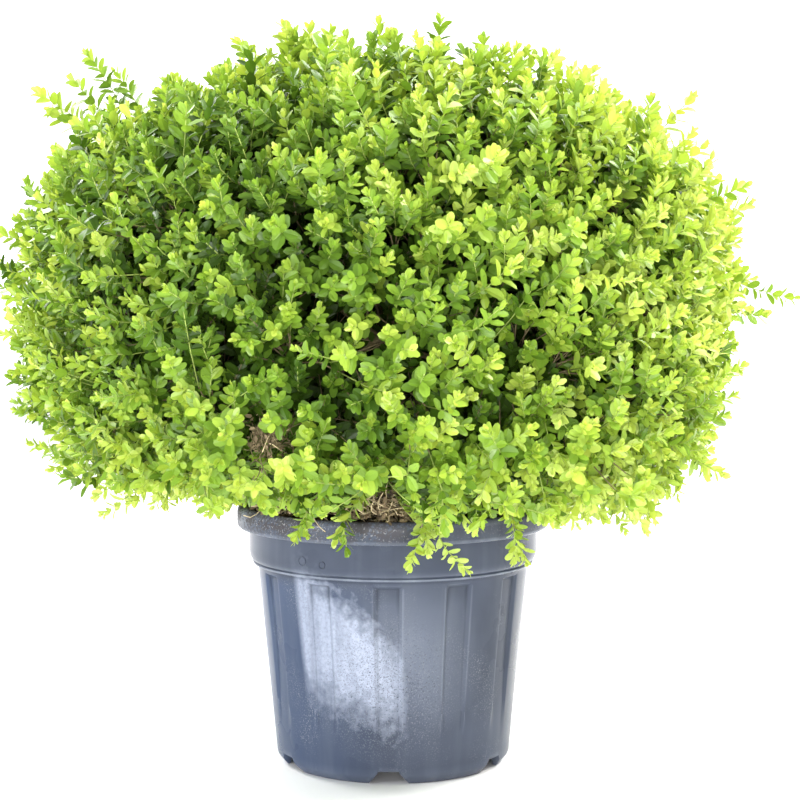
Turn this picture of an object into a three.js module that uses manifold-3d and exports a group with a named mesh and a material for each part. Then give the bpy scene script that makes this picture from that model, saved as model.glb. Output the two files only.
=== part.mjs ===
// A clipped box shrub, a leafy dome wider than it is tall, in the black nursery pot that it grew in.
// Millimetres, +Z up. The origin is on the ground, on the pot's axis. -Y is the front.
// From the ground up: the fluted pot, the compost that fills it, a short main stem, eight boughs
// that fork from it, and the clipped crown as one mass of foliage on each bough: seven side masses
// round the stem and a cap on top. Each mass is a thin core of packed inner leaves, with a stem that
// carries on from its bough, and shoots of paired leaves that stand out of the core.
import * as THREE from "three";
import { mergeVertices } from "three/addons/utils/BufferGeometryUtils.js";
import Module from "manifold-3d";

const wasm = await Module();
wasm.setup();

// Driving dimensions of the pot
const POT_HEIGHT = 248;
const RIM_RADIUS = 150.5;
const RIM_DEPTH = 21;
const RIM_ROUND = 5;
const BAND_RADIUS = 138.8;
const BAND_FOOT_Z = 187;
const BAND_ROUND = 9;
const BODY_TOP_RADIUS = 130.5;
const BODY_FOOT_RADIUS = 112.5;
const FOOT_RADIUS = 106;
const FOOT_CHAMFER = 8;
const SKIRT_WALL = 3;
const POT_WALL = 2.4;
const POT_FLOOR_Z = 14;
const POT_SIDES = 72;

// The pot's upright flutes, and the notches that let water out under its foot
const FLUTES = 12;
const FLUTE_DEPTH = 3.5;
const FLUTE_FLAT_DEG = 10;
const FLUTE_SLOPE_DEG = 5;
const FLUTE_TOP_Z = BAND_FOOT_Z - 7;
const FLUTE_LOW_Z = 44;
const FLUTE_RUN_OUT = 26;
const NOTCHES = 6;
const NOTCH_FOOT_WIDTH = 42;
const NOTCH_HEAD_WIDTH = 27;
const NOTCH_HEIGHT = 12;
const POT_CLEARANCE = 6;

// The compost, and the gap that neighbours keep
const COMPOST_EDGE_Z = 221;
const COMPOST_CROWN_Z = 229;
const COMPOST_LUMPS = 1.8;
const GAP = 0.3;

// The main stem
const STEM_FOOT_RADIUS = 24;
const STEM_RADIUS = 15;
const STEM_TIP_RADIUS = 9.5;
const STEM_HEIGHT = 84;
const STEM_LEAN = 7;

// The crown's clipped outline: a round dome about its middle, squarer below than above
const CROWN_MIDDLE_Z = 430;
const CROWN_RADIUS = 354;
const CROWN_RISE = 257;
const CROWN_DROP = 212;
const SQUARENESS_ABOVE = 2.4;
const SQUARENESS_BELOW = 3;
const SWELL = 0.022;

// The crown's masses
const SIDE_MASSES = 7;
const FIRST_MASS_DEG = -90;
const CAP_HALF_DEG = 40;
const CORE_DEPTH = 50;
const CORE_LUMPS = 5;
const CONE_SIDES = 28;
const FAR = 500;
const CAVITY_SHARE = 0.7;
const FOOT_HOLE_RADIUS = 112;
const MASS_GAP = 1;

// Boughs
const BOUGH_ROOT_RADIUS = 7.6;
const BOUGH_TIP_RADIUS = 4.6;
const BOUGH_TIP_SHARE = 0.655;
const BOUGH_TIP_Z = 398;
const BOUGH_SIDES = 7;
const MASS_STEM_LENGTH = 60;

// Shoots and leaves, larger than life so that the crown closes
const SHOOTS = 64;
const SHOOT_LENGTH = 58;
const LONG_SHOOT_LENGTH = 125;
const SHOOT_RADIUS = 3.2;
const SHOOT_TIP_RADIUS = 2.4;
const PAIRS = 2;
const PAIR_STEP = 12;
const ROOT_SUNK = 2.5;
const LEAF_LENGTH = 72;
const LEAF_WIDTH = 43;
const LEAF_THICKNESS = 3.6;
const LEAF_FOLD = 5;
const LEAF_BROADEST = 0.56;
const LEAF_SIZE = 0.85;
const LONG_SHOOT_LEAF_SIZE = 0.5;
const LEAF_SIZE_RANGE = 0.2;
const TIP_LEAF = 0.7;
const LONG_TIP_LEAF = 0.62;
const LEAF_SPREAD_DEG = 48;
const LOWER_LEAF_SPREAD_DEG = 12;
const LIFT = 0.42;
const SEED = 20417;

// Long young shoots that stand past the clipped outline. Each row is the place of its tip.
const FULL_HALF_WIDTH = 388;
const FULL_HALF_DEPTH = 378;
const FULL_HEIGHT = 719;
const LONG_SHOOT_TIPS = [
  [FULL_HALF_WIDTH, -24, 446],
  [-FULL_HALF_WIDTH, 36, 474],
  [64, -FULL_HALF_DEPTH, 418],
  [-48, FULL_HALF_DEPTH, 452],
  [45, -12, FULL_HEIGHT],
  [-14, 40, 713],
  [-334, -40, 640],
  [-286, -16, 678],
  [283, -30, 641],
  [343, -44, 540],
  [-210, 262, 618],
  [66, -222, 204],
  [-92, -214, 214],
];

const COLOURS = { pot: 0x23262c, compost: 0x4a3728, bark: 0x7a6a52, foliage: 0x6f9d2f };

const materials = {
  pot: new THREE.MeshStandardMaterial({ color: COLOURS.pot, roughness: 0.38, metalness: 0 }),
  compost: new THREE.MeshStandardMaterial({ color: COLOURS.compost, roughness: 0.95, metalness: 0 }),
  bark: new THREE.MeshStandardMaterial({ color: COLOURS.bark, roughness: 0.85, metalness: 0 }),
  foliage: new THREE.MeshStandardMaterial({ color: COLOURS.foliage, roughness: 0.45, metalness: 0 }),
};

const UP = new THREE.Vector3(0, 0, 1);
const crownMiddle = new THREE.Vector3(0, 0, CROWN_MIDDLE_Z);
const radians = THREE.MathUtils.degToRad;
const vector = (x, y, z) => new THREE.Vector3(x, y, z);

// A repeatable source of numbers from 0 to 1.
function randomFrom(seed) {
  let state = seed >>> 0;
  return () => {
    state = (state + 0x6d2b79f5) >>> 0;
    let t = Math.imul(state ^ (state >>> 15), state | 1);
    t ^= t + Math.imul(t ^ (t >>> 7), t | 61);
    return ((t ^ (t >>> 14)) >>> 0) / 4294967296;
  };
}

// The triangles of an indexed mesh, as lists of three corner numbers.
function trianglesOf(index) {
  return Array.from({ length: index.length / 3 }, (_, i) => [index[3 * i], index[3 * i + 1], index[3 * i + 2]]);
}

// Closed geometry as a solid that can be joined and cut.
function solidOf(geometry) {
  const bare = geometry.clone();
  bare.deleteAttribute("normal");
  bare.deleteAttribute("uv");
  const merged = mergeVertices(bare, 1e-4);
  const whole = trianglesOf(merged.index.array).filter(([a, b, c]) => a !== b && b !== c && c !== a);
  return new wasm.Manifold(
    new wasm.Mesh({
      numProp: 3,
      vertProperties: merged.attributes.position.array,
      triVerts: new Uint32Array(whole.flat()),
    }),
  );
}

// Six times the volume between a triangle and the origin.
function wedgeVolume(points, [a, b, c]) {
  const [u, v, w] = [a, b, c].map((corner) => vector().fromArray(points, corner * 3));
  return u.dot(v.cross(w));
}

// The triangles of a mesh's largest shell. Loose scraps are dropped, and sealed hollows are filled.
function largestShell(points, triangles) {
  const parent = Array.from({ length: points.length / 3 }, (_, i) => i);
  const rootOf = (i) => {
    while (parent[i] !== i) i = parent[i] = parent[parent[i]];
    return i;
  };
  for (const [a, b, c] of triangles) {
    parent[rootOf(b)] = rootOf(a);
    parent[rootOf(c)] = rootOf(a);
  }
  const volumes = new Map();
  for (const triangle of triangles) {
    const shell = rootOf(triangle[0]);
    volumes.set(shell, (volumes.get(shell) ?? 0) + wedgeVolume(points, triangle));
  }
  const [largest] = [...volumes].reduce((best, next) => (next[1] > best[1] ? next : best));
  return triangles.filter(([a]) => rootOf(a) === largest);
}

// A solid as a named mesh of the plant.
function named(name, solid, material) {
  const { vertProperties, triVerts } = solid.getMesh();
  const geometry = new THREE.BufferGeometry();
  geometry.setAttribute("position", new THREE.BufferAttribute(vertProperties, 3));
  geometry.setIndex(largestShell(vertProperties, trianglesOf(triVerts)).flat());
  geometry.computeVertexNormals();
  const mesh = new THREE.Mesh(geometry, material);
  mesh.name = name;
  return mesh;
}

// Moves every vertex of a geometry by a rule.
function reshape(geometry, rule) {
  const points = geometry.attributes.position;
  const place = new THREE.Vector3();
  for (let i = 0; i < points.count; i++) {
    rule(place.fromBufferAttribute(points, i));
    points.setXYZ(i, place.x, place.y, place.z);
  }
  return geometry;
}

// A profile of [radius, height] corners turned about the Z axis.
function turned(profile, sides) {
  const corners = profile.map(([radius, height]) => new THREE.Vector2(radius, height));
  const geometry = new THREE.LatheGeometry(corners, sides);
  return geometry.rotateX(Math.PI / 2);
}

// How far round a flute a direction lies: 1 on its flat, 0 on the land between two flutes.
function fluteShare(angle) {
  const pitch = 360 / FLUTES;
  const turn = THREE.MathUtils.euclideanModulo(THREE.MathUtils.radToDeg(angle) + 90, pitch);
  const off = Math.min(turn, pitch - turn);
  return THREE.MathUtils.clamp((FLUTE_FLAT_DEG / 2 + FLUTE_SLOPE_DEG - off) / FLUTE_SLOPE_DEG, 0, 1);
}

// The outer radius of the pot's body at a height, on the lands.
function bodyRadius(z) {
  const share = (z - FOOT_CHAMFER) / (BAND_FOOT_Z - FOOT_CHAMFER);
  return THREE.MathUtils.lerp(BODY_FOOT_RADIUS, BODY_TOP_RADIUS, share);
}

// The inner radius of the pot, clear of its flutes.
const inside = (z) => bodyRadius(z) - FLUTE_DEPTH - POT_WALL;

// The smooth inner wall of the pot, from the middle of its floor up to its rim.
function insideCorners() {
  const bandInner = BAND_RADIUS - POT_WALL;
  return [
    [0, POT_FLOOR_Z + POT_WALL],
    [inside(POT_FLOOR_Z + 4), POT_FLOOR_Z + 4],
    [inside(FLUTE_TOP_Z), FLUTE_TOP_Z + 3],
    [bandInner - 2, BAND_FOOT_Z + 14],
    [bandInner, POT_HEIGHT - 8],
  ];
}

function potSolid() {
  const rimFoot = POT_HEIGHT - RIM_DEPTH;
  const skirtInner = FOOT_RADIUS - SKIRT_WALL;
  const fluteFade = FLUTE_LOW_Z - FLUTE_RUN_OUT / 2;
  const fluteFull = FLUTE_LOW_Z + FLUTE_RUN_OUT / 2;
  const profile = [
    [0, POT_FLOOR_Z],
    [skirtInner, POT_FLOOR_Z],
    [skirtInner, 0],
    [FOOT_RADIUS, 0],
    [BODY_FOOT_RADIUS, FOOT_CHAMFER],
    [bodyRadius(fluteFade), fluteFade],
    [bodyRadius(fluteFull), fluteFull],
    [bodyRadius(FLUTE_TOP_Z), FLUTE_TOP_Z],
    [bodyRadius(BAND_FOOT_Z) + 1, BAND_FOOT_Z],
    [BAND_RADIUS - 2, BAND_FOOT_Z + BAND_ROUND],
    [BAND_RADIUS, rimFoot],
    [RIM_RADIUS - RIM_ROUND / 2, rimFoot],
    [RIM_RADIUS, rimFoot + RIM_ROUND],
    [RIM_RADIUS, POT_HEIGHT - RIM_ROUND],
    [RIM_RADIUS - RIM_ROUND, POT_HEIGHT],
    ...insideCorners().reverse(),
  ];
  const fluted = reshape(turned(profile, POT_SIDES), (p) => {
    const radius = Math.hypot(p.x, p.y);
    const onWall = radius > bodyRadius(p.z) - POT_WALL / 2;
    if (!onWall || p.z < fluteFull - GAP || p.z > FLUTE_TOP_Z + GAP) return;
    const cut = (radius - FLUTE_DEPTH * fluteShare(Math.atan2(p.y, p.x))) / radius;
    p.set(p.x * cut, p.y * cut, p.z);
  });
  const cutters = Array.from({ length: NOTCHES }, (_, k) => notchCutter(-90 + (k * 360) / NOTCHES));
  return cutters.reduce((pot, cutter) => pot.subtract(cutter), solidOf(fluted));
}

// The wedge that opens one notch through the pot's skirt, from inside it to well outside.
function notchCutter(angleDeg) {
  const below = -2;
  const reach = 30;
  const flare = (NOTCH_FOOT_WIDTH - NOTCH_HEAD_WIDTH) / 2 / NOTCH_HEIGHT;
  const footHalf = NOTCH_FOOT_WIDTH / 2 - flare * below;
  const outline = new THREE.Shape();
  outline.moveTo(-footHalf, below);
  outline.lineTo(footHalf, below);
  outline.lineTo(NOTCH_HEAD_WIDTH / 2, NOTCH_HEIGHT);
  outline.lineTo(-NOTCH_HEAD_WIDTH / 2, NOTCH_HEIGHT);
  outline.closePath();
  const wedge = new THREE.ExtrudeGeometry(outline, { depth: 2 * reach, bevelEnabled: false });
  wedge.rotateX(Math.PI / 2);
  wedge.translate(0, reach - FOOT_RADIUS, 0);
  wedge.rotateZ(radians(angleDeg + 90));
  return solidOf(wedge);
}

// The compost: a plug that fills the pot, with a low uneven mound on top and a level patch for the stem.
function compostSolid() {
  const flat = STEM_FOOT_RADIUS + 12;
  const wall = insideCorners()
    .slice(0, -1)
    .map(([radius, z]) => [Math.max(radius - GAP, 0), z + GAP]);
  const edge = wall.at(-1)[0];
  const profile = [
    ...wall,
    [edge, COMPOST_EDGE_Z],
    [edge * 0.72, COMPOST_EDGE_Z + 5],
    [edge * 0.46, COMPOST_CROWN_Z - 1],
    [flat, COMPOST_CROWN_Z],
    [0, COMPOST_CROWN_Z],
  ];
  return solidOf(
    reshape(turned(profile, POT_SIDES / 2), (p) => {
      const radius = Math.hypot(p.x, p.y);
      if (p.z < COMPOST_EDGE_Z + 1 || radius < flat + 1) return;
      const angle = Math.atan2(p.y, p.x);
      p.z += COMPOST_LUMPS * (Math.sin(5 * angle + radius * 0.09) - 0.4 * Math.sin(9 * angle));
    }),
  );
}

// A limb: a cylinder of unit height laid along a curve, its radius given by a rule of (share, angle).
function limb(curve, radiusAt, sides, steps) {
  const straight = new THREE.CylinderGeometry(1, 1, 1, sides, steps);
  return reshape(straight, (p) => {
    const share = p.y + 0.5;
    const along = curve.getTangent(share).normalize();
    const level = vector(1, 0.15, 0).cross(along).normalize();
    const over = level.clone().cross(along);
    const angle = Math.atan2(p.z, p.x);
    const radius = Math.hypot(p.x, p.z) * radiusAt(share, angle);
    p.copy(curve.getPoint(share))
      .addScaledVector(over, radius * Math.sin(angle))
      .addScaledVector(level, radius * Math.cos(angle));
  });
}

const stemFoot = vector(0, 0, COMPOST_CROWN_Z + GAP);
const stemTip = vector(-STEM_LEAN, STEM_LEAN * 0.4, COMPOST_CROWN_Z + GAP + STEM_HEIGHT);

// The main stem flares at its foot and leans a little. grow makes the copy that its boughs are cut by.
function mainStemSolid(grow = 0) {
  const end = stemTip.clone().addScaledVector(UP, grow);
  const bend = vector(1, -1, (stemFoot.z + end.z) / 2);
  const curve = new THREE.QuadraticBezierCurve3(stemFoot, bend, end);
  const radiusAt = (share, angle) => {
    const flare = Math.pow(1 - share, 5);
    const ridge = 1 + 0.22 * flare * Math.cos(4 * angle);
    const shaft = THREE.MathUtils.lerp(STEM_RADIUS, STEM_TIP_RADIUS, share);
    return (shaft + (STEM_FOOT_RADIUS - STEM_RADIUS) * flare) * ridge + grow;
  };
  const stem = limb(curve, radiusAt, 12, 7);
  return solidOf(reshape(stem, (p) => (p.z < stemFoot.z + 4 ? p.setZ(stemFoot.z) : p)));
}

// The slow swells of the clipped surface, as a share of its radius.
function swell(azimuth, rise) {
  const broad = Math.sin(3 * azimuth + 0.7) + 0.8 * Math.sin(5 * azimuth - 1.1 + 2 * rise);
  return 1 + SWELL * (broad * 0.6 + 0.7 * Math.sin(4 * rise + 2 * azimuth));
}

// The distance from the crown's middle to its clipped outline, along a unit direction.
function outlineReach(direction) {
  const flat = Math.hypot(direction.x, direction.y);
  const above = direction.z > 0;
  const power = above ? SQUARENESS_ABOVE : SQUARENESS_BELOW;
  const height = above ? CROWN_RISE : CROWN_DROP;
  const sum = Math.pow(flat / CROWN_RADIUS, power) + Math.pow(Math.abs(direction.z) / height, power);
  return Math.pow(sum, -1 / power) * swell(Math.atan2(direction.y, direction.x), direction.z);
}

// The way out of the clipped surface at a direction from the crown's middle.
function wayOut(direction) {
  const power = direction.z > 0 ? SQUARENESS_ABOVE : SQUARENESS_BELOW;
  const height = direction.z > 0 ? CROWN_RISE : CROWN_DROP;
  const place = direction.clone().multiplyScalar(outlineReach(direction));
  const slope = (value, size) => (Math.sign(value) * Math.pow(Math.abs(value) / size, power - 1)) / size;
  return vector(slope(place.x, CROWN_RADIUS), slope(place.y, CROWN_RADIUS), slope(place.z, height)).normalize();
}

// A closed skin of the crown, at a distance from its middle given by a rule.
function crownSkin(detail, reachAt) {
  const lowest = POT_HEIGHT + POT_CLEARANCE;
  return solidOf(
    reshape(new THREE.IcosahedronGeometry(1, detail), (p) => {
      const direction = p.clone().normalize();
      p.copy(direction).multiplyScalar(reachAt(direction)).add(crownMiddle);
      if (Math.hypot(p.x, p.y) < RIM_RADIUS + 2 * POT_CLEARANCE) p.z = Math.max(p.z, lowest);
    }),
  );
}

// The packed inner foliage of the whole crown, open below round the stem, before it is parted.
function wholeCore() {
  const lump = ({ x, y, z }) => Math.sin(23 * x + 4 * y) + Math.sin(21 * y - 5 * z) + Math.sin(19 * z + 6 * x);
  const skin = crownSkin(5, (d) => outlineReach(d) - CORE_DEPTH - CORE_LUMPS * lump(d));
  const cavity = crownSkin(2, (d) => outlineReach(d) * CAVITY_SHARE);
  const hole = new THREE.CylinderGeometry(FOOT_HOLE_RADIUS, FOOT_HOLE_RADIUS, CROWN_DROP, 24);
  hole.rotateX(Math.PI / 2).translate(0, 0, CROWN_MIDDLE_Z - CROWN_DROP / 2 - 40);
  return skin.subtract(cavity).subtract(solidOf(hole));
}

// The cone over the crown's middle that parts the cap from the sides, moved along its axis to leave a gap.
function capCone(shift) {
  const cone = new THREE.ConeGeometry(FAR * Math.tan(radians(CAP_HALF_DEG)), FAR, CONE_SIDES);
  cone.rotateX(-Math.PI / 2).translate(0, 0, CROWN_MIDDLE_Z + FAR / 2 + shift);
  return solidOf(cone);
}

const halfSector = Math.PI / SIDE_MASSES;
const coneShift = MASS_GAP / 2 / Math.sin(radians(CAP_HALF_DEG));
const sideAngle = (k) => radians(FIRST_MASS_DEG) + (k * 2 * Math.PI) / SIDE_MASSES;

// The upright wedge of space that one side mass keeps to.
function sectorWedge(k) {
  const inset = MASS_GAP / 2 / Math.sin(halfSector);
  const outline = new THREE.Shape();
  outline.moveTo(inset, 0);
  outline.lineTo(inset + FAR * Math.cos(halfSector), -FAR * Math.sin(halfSector));
  outline.lineTo(inset + FAR * Math.cos(halfSector), FAR * Math.sin(halfSector));
  outline.closePath();
  const wedge = new THREE.ExtrudeGeometry(outline, { depth: 2 * FAR, bevelEnabled: false });
  return solidOf(wedge.rotateZ(sideAngle(k)));
}

// The mass whose space holds a point: the cap is -1. A point within the margin of another's space gets null.
function keeperOf(point, margin) {
  const offset = point.clone().sub(crownMiddle);
  const flat = Math.hypot(offset.x, offset.y);
  const cone = radians(CAP_HALF_DEG);
  const pastCone = flat * Math.cos(cone) - offset.z * Math.sin(cone);
  if (Math.abs(pastCone) < margin) return null;
  if (pastCone <= 0) return -1;
  const turn = (Math.atan2(point.y, point.x) - sideAngle(0)) / (2 * halfSector);
  const nearest = Math.round(turn);
  const toEdge = Math.hypot(point.x, point.y) * Math.sin(halfSector * (1 - 2 * Math.abs(turn - nearest)));
  return toEdge < margin ? null : THREE.MathUtils.euclideanModulo(nearest, SIDE_MASSES);
}

// True where a point would touch the pot.
const touchesPot = ({ x, y, z }) => Math.max(Math.hypot(x, y) - RIM_RADIUS, z - POT_HEIGHT) < POT_CLEARANCE;

// One leaf: eight faces, broadest past its middle and folded along its rib. It grows from its root along a way,
// with its upper face turned out and to the sky.
function leafGeometry(root, along, random, size) {
  const light = root.clone().sub(crownMiddle).normalize().addScaledVector(UP, 0.35);
  const broad = light.add(strayWay(random, 0.7)).cross(along).normalize();
  const over = along.clone().cross(broad).normalize();
  return reshape(new THREE.OctahedronGeometry(1, 0), (p) => {
    const share = p.x === 0 ? LEAF_BROADEST : (p.x + 1) / 2;
    const side = (p.y * LEAF_WIDTH) / 2;
    const lift = (p.z * LEAF_THICKNESS) / 2 - Math.abs(p.y) * LEAF_FOLD;
    p.copy(root)
      .addScaledVector(along, share * LEAF_LENGTH * size)
      .addScaledVector(broad, side * size)
      .addScaledVector(over, lift * size);
  });
}

// The corners of a geometry, its middle, and the points halfway to it.
function pointsOf(geometry) {
  const places = geometry.attributes.position;
  const corners = Array.from({ length: places.count }, (_, i) => vector().fromBufferAttribute(places, i));
  const middle = corners.reduce((sum, corner) => sum.addScaledVector(corner, 1 / corners.length), vector());
  return [...corners, middle, ...corners.map((corner) => corner.clone().lerp(middle, 0.5))];
}

// A shoot that ends at a tip: a three-sided twig from its root in the core, pairs of leaves, and one last leaf.
function shootPieces(keeper, tip, along, random, long = false) {
  const lastLeaf = long ? LONG_TIP_LEAF : TIP_LEAF;
  const lastRoot = tip.clone().addScaledVector(along, -lastLeaf * LEAF_LENGTH);
  const twigTip = lastRoot.clone().addScaledVector(along, ROOT_SUNK);
  const root = twigTip.clone().addScaledVector(along, long ? -LONG_SHOOT_LENGTH : -SHOOT_LENGTH);
  const radiusAt = (share) => THREE.MathUtils.lerp(SHOOT_RADIUS, SHOOT_TIP_RADIUS, share);
  const twig = limb(new THREE.LineCurve3(root, twigTip), radiusAt, 3, 1);
  const fits = (piece) =>
    pointsOf(piece).every((p) => keeperOf(p, MASS_GAP) === keeper && !touchesPot(p) && insideReach(p));
  const last = leafGeometry(lastRoot, along, random, lastLeaf);
  if (!fits(twig) || !fits(last)) return [];
  const pieces = [twig, last];
  const side = strayWay(random, 1).cross(along).normalize();
  for (let pair = 0; pair < PAIRS; pair++) {
    const spread = radians(LEAF_SPREAD_DEG + LOWER_LEAF_SPREAD_DEG * pair);
    for (const hand of [-1, 1]) {
      const way = along.clone().multiplyScalar(Math.cos(spread)).addScaledVector(side, hand * Math.sin(spread));
      const below = PAIR_STEP * (pair + 0.4) + (hand * PAIR_STEP) / 8;
      const seat = twigTip.clone().addScaledVector(along, -below);
      const size = (long ? LONG_SHOOT_LEAF_SIZE : LEAF_SIZE) + LEAF_SIZE_RANGE * random();
      const trials = [size, size * 0.75].map((s) => leafGeometry(seat, way, random, s));
      const leaf = trials.find(fits);
      if (leaf) pieces.push(leaf);
    }
    side.applyAxisAngle(along, Math.PI / 2);
  }
  return pieces.map(solidOf);
}

// True where a point is inside the crown's full width, depth and height, or on them.
const insideReach = (p) =>
  Math.max(Math.abs(p.x) - FULL_HALF_WIDTH, Math.abs(p.y) - FULL_HALF_DEPTH, p.z - FULL_HEIGHT) < 0.1;

// A random way, up to a half of a size along each axis.
const strayWay = (random, size) => vector(random() - 0.5, random() - 0.5, random() - 0.5).multiplyScalar(size);

// The place on the clipped outline that lies along a direction.
const onOutline = (direction) => direction.clone().multiplyScalar(outlineReach(direction)).add(crownMiddle);

// The direction from the crown's middle to the heart of a mass.
function heartOf(keeper) {
  return keeper < 0 ? UP : vector(Math.cos(sideAngle(keeper)), Math.sin(sideAngle(keeper)), 0);
}

// The way that a shoot grows: out of the clipped surface, and turned up to the light where it isn't underneath.
function growthWay(direction, random) {
  const lift = direction.z > -0.55 ? LIFT : 0;
  return wayOut(direction).addScaledVector(UP, lift).add(strayWay(random, 0.55)).normalize();
}

// All shoots of the crown, as one list for each mass. Their tips follow a spiral over the outline.
function growShoots() {
  const random = randomFrom(SEED);
  const grown = new Map();
  const keep = (keeper, pieces) => grown.set(keeper, [...(grown.get(keeper) ?? []), ...pieces]);
  const golden = Math.PI * (3 - Math.sqrt(5));
  for (let k = 0; k < SHOOTS; k++) {
    const z = 1 - (2 * (k + 0.5)) / SHOOTS;
    const flat = Math.sqrt(1 - z * z);
    const first = vector(flat * Math.cos(k * golden), flat * Math.sin(k * golden), z);
    const keeper = keeperOf(onOutline(first), 0);
    const trials = [0, 0.12, 0.24].map((share) => {
      const direction = first.clone().lerp(heartOf(keeper), share).normalize();
      return shootPieces(keeper, onOutline(direction), growthWay(direction, random), random);
    });
    keep(keeper, trials.reduce((best, next) => (next.length > best.length ? next : best)));
  }
  for (const [x, y, z] of LONG_SHOOT_TIPS) {
    const tip = vector(x, y, z);
    const along = tip.clone().sub(crownMiddle).normalize().addScaledVector(UP, 0.12).normalize();
    const keeper = keeperOf(tip, MASS_GAP);
    if (keeper !== null) keep(keeper, shootPieces(keeper, tip, along, random, true));
  }
  return grown;
}

// A bough's centre line, from inside the main stem to just short of its mass's inner face.
function boughCurve(k) {
  if (k < 0) {
    const top = vector(-2, 3, CROWN_MIDDLE_Z + CROWN_RISE * CAVITY_SHARE - 8);
    return new THREE.QuadraticBezierCurve3(stemTip, vector(-12, 6, 470), top);
  }
  const way = vector(Math.cos(sideAngle(k)), Math.sin(sideAngle(k)), 0);
  const order = (k * 3) % SIDE_MASSES;
  const root = stemFoot.clone().lerp(stemTip, 0.36 + 0.085 * order);
  const tip = way.clone().multiplyScalar(CROWN_RADIUS * BOUGH_TIP_SHARE).setZ(BOUGH_TIP_Z + 5 * order);
  const bend = way.clone().multiplyScalar(92).setZ(root.z + 88);
  return new THREE.QuadraticBezierCurve3(root, bend, tip);
}

function boughSolid(k, grow = 0) {
  const root = k < 0 ? STEM_TIP_RADIUS : BOUGH_ROOT_RADIUS;
  const radiusAt = (share) => THREE.MathUtils.lerp(root, BOUGH_TIP_RADIUS, Math.pow(share, 0.8)) + grow;
  return solidOf(limb(boughCurve(k), radiusAt, BOUGH_SIDES, 6));
}

// The stem that carries a bough on into the core of its mass.
function massStem(k) {
  const curve = boughCurve(k);
  const way = curve.getTangent(1).normalize();
  const start = curve.getPoint(1).addScaledVector(way, GAP);
  const end = start.clone().addScaledVector(way, MASS_STEM_LENGTH);
  return solidOf(limb(new THREE.LineCurve3(start, end), () => BOUGH_TIP_RADIUS, BOUGH_SIDES, 1));
}

function massSolid(k, core, shoots) {
  const keeps = k < 0 ? capCone(coneShift) : sectorWedge(k).subtract(capCone(-coneShift));
  return [massStem(k), ...shoots].reduce((mass, piece) => mass.add(piece), core.intersect(keeps));
}

function boxBall() {
  const plant = new THREE.Group();
  plant.add(named("pot", potSolid(), materials.pot));
  plant.add(named("compost", compostSolid(), materials.compost));
  plant.add(named("main_stem", mainStemSolid(), materials.bark));
  const aroundStem = mainStemSolid(GAP);
  const aroundLeader = aroundStem.add(boughSolid(-1, GAP));
  const core = wholeCore();
  const shoots = growShoots();
  const places = ["cap", ...Array.from({ length: SIDE_MASSES }, (_, k) => `side_${k + 1}`)];
  places.forEach((place, i) => {
    const bough = boughSolid(i - 1).subtract(i === 0 ? aroundStem : aroundLeader);
    plant.add(named(`bough_${place}`, bough, materials.bark));
    plant.add(named(`foliage_${place}`, massSolid(i - 1, core, shoots.get(i - 1) ?? []), materials.foliage));
  });
  return plant;
}

export default boxBall();
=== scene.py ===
import math
from collections import namedtuple
from functools import cached_property

import bmesh
import bpy
import numpy as np
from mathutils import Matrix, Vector, noise


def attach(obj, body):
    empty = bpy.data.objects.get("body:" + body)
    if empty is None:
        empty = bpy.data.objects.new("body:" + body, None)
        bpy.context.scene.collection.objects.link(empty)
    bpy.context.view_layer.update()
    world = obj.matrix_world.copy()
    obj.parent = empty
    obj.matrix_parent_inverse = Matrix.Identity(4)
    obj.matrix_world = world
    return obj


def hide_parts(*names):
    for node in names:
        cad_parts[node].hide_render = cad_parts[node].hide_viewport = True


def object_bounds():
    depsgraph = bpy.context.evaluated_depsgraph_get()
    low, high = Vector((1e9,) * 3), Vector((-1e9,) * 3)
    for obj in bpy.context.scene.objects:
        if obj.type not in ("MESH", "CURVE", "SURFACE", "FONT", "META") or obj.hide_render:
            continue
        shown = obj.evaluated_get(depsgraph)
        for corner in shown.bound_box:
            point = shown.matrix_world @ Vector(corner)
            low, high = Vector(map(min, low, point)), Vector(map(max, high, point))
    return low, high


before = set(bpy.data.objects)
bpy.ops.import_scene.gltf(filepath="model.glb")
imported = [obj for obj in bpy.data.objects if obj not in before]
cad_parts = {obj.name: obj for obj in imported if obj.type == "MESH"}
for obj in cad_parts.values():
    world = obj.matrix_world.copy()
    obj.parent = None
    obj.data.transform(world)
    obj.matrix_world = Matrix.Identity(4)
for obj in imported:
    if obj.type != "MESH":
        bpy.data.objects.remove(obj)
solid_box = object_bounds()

MM = 0.001
SEED = 20417
PIECE_TRIANGLES = 185000
ALL_FOLIAGE = ["foliage_cap", *[f"foliage_side_{k + 1}" for k in range(7)]]

# The camera, which sees a square picture
PICTURE_SIDE = 800
SENSOR_WIDTH = 36
CAMERA_FOCAL_PIXELS = 1922
CAMERA_DISTANCE = 1850
CAMERA_HEIGHT = 475
CAMERA_ROUND_DEG = 2.1
CAMERA_PITCH_DEG = 3.94
CAMERA_PAN_DEG = 0.21

# The pot
POT_HEIGHT = 248
RIM_RADIUS = 150.5
RIM_DEPTH = 21
BAND_RADIUS = 138.8
BAND_FOOT_Z = 193
BODY_TOP_RADIUS = 130.8
BODY_FOOT_RADIUS = 112.5
FOOT_RADIUS = 106
FOOT_CHAMFER = 8
SKIRT_WALL = 3
POT_WALL = 2.4
POT_FLOOR_Z = 14
POT_SIDES = 240
POLE_RADIUS = 2
FLUTES = 12
FLUTE_DEPTH = 3.5
FLUTE_HALF_DEG = 5.6
BEVEL = 0.8
SMOOTH_DEG = 38
NOTCHES = 6
NOTCH_FOOT_WIDTH = 37
NOTCH_HEAD_WIDTH = 18
NOTCH_HEIGHT = 13
CUTTER_BELOW = 3
CUTTER_LENGTH = 44

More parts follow.
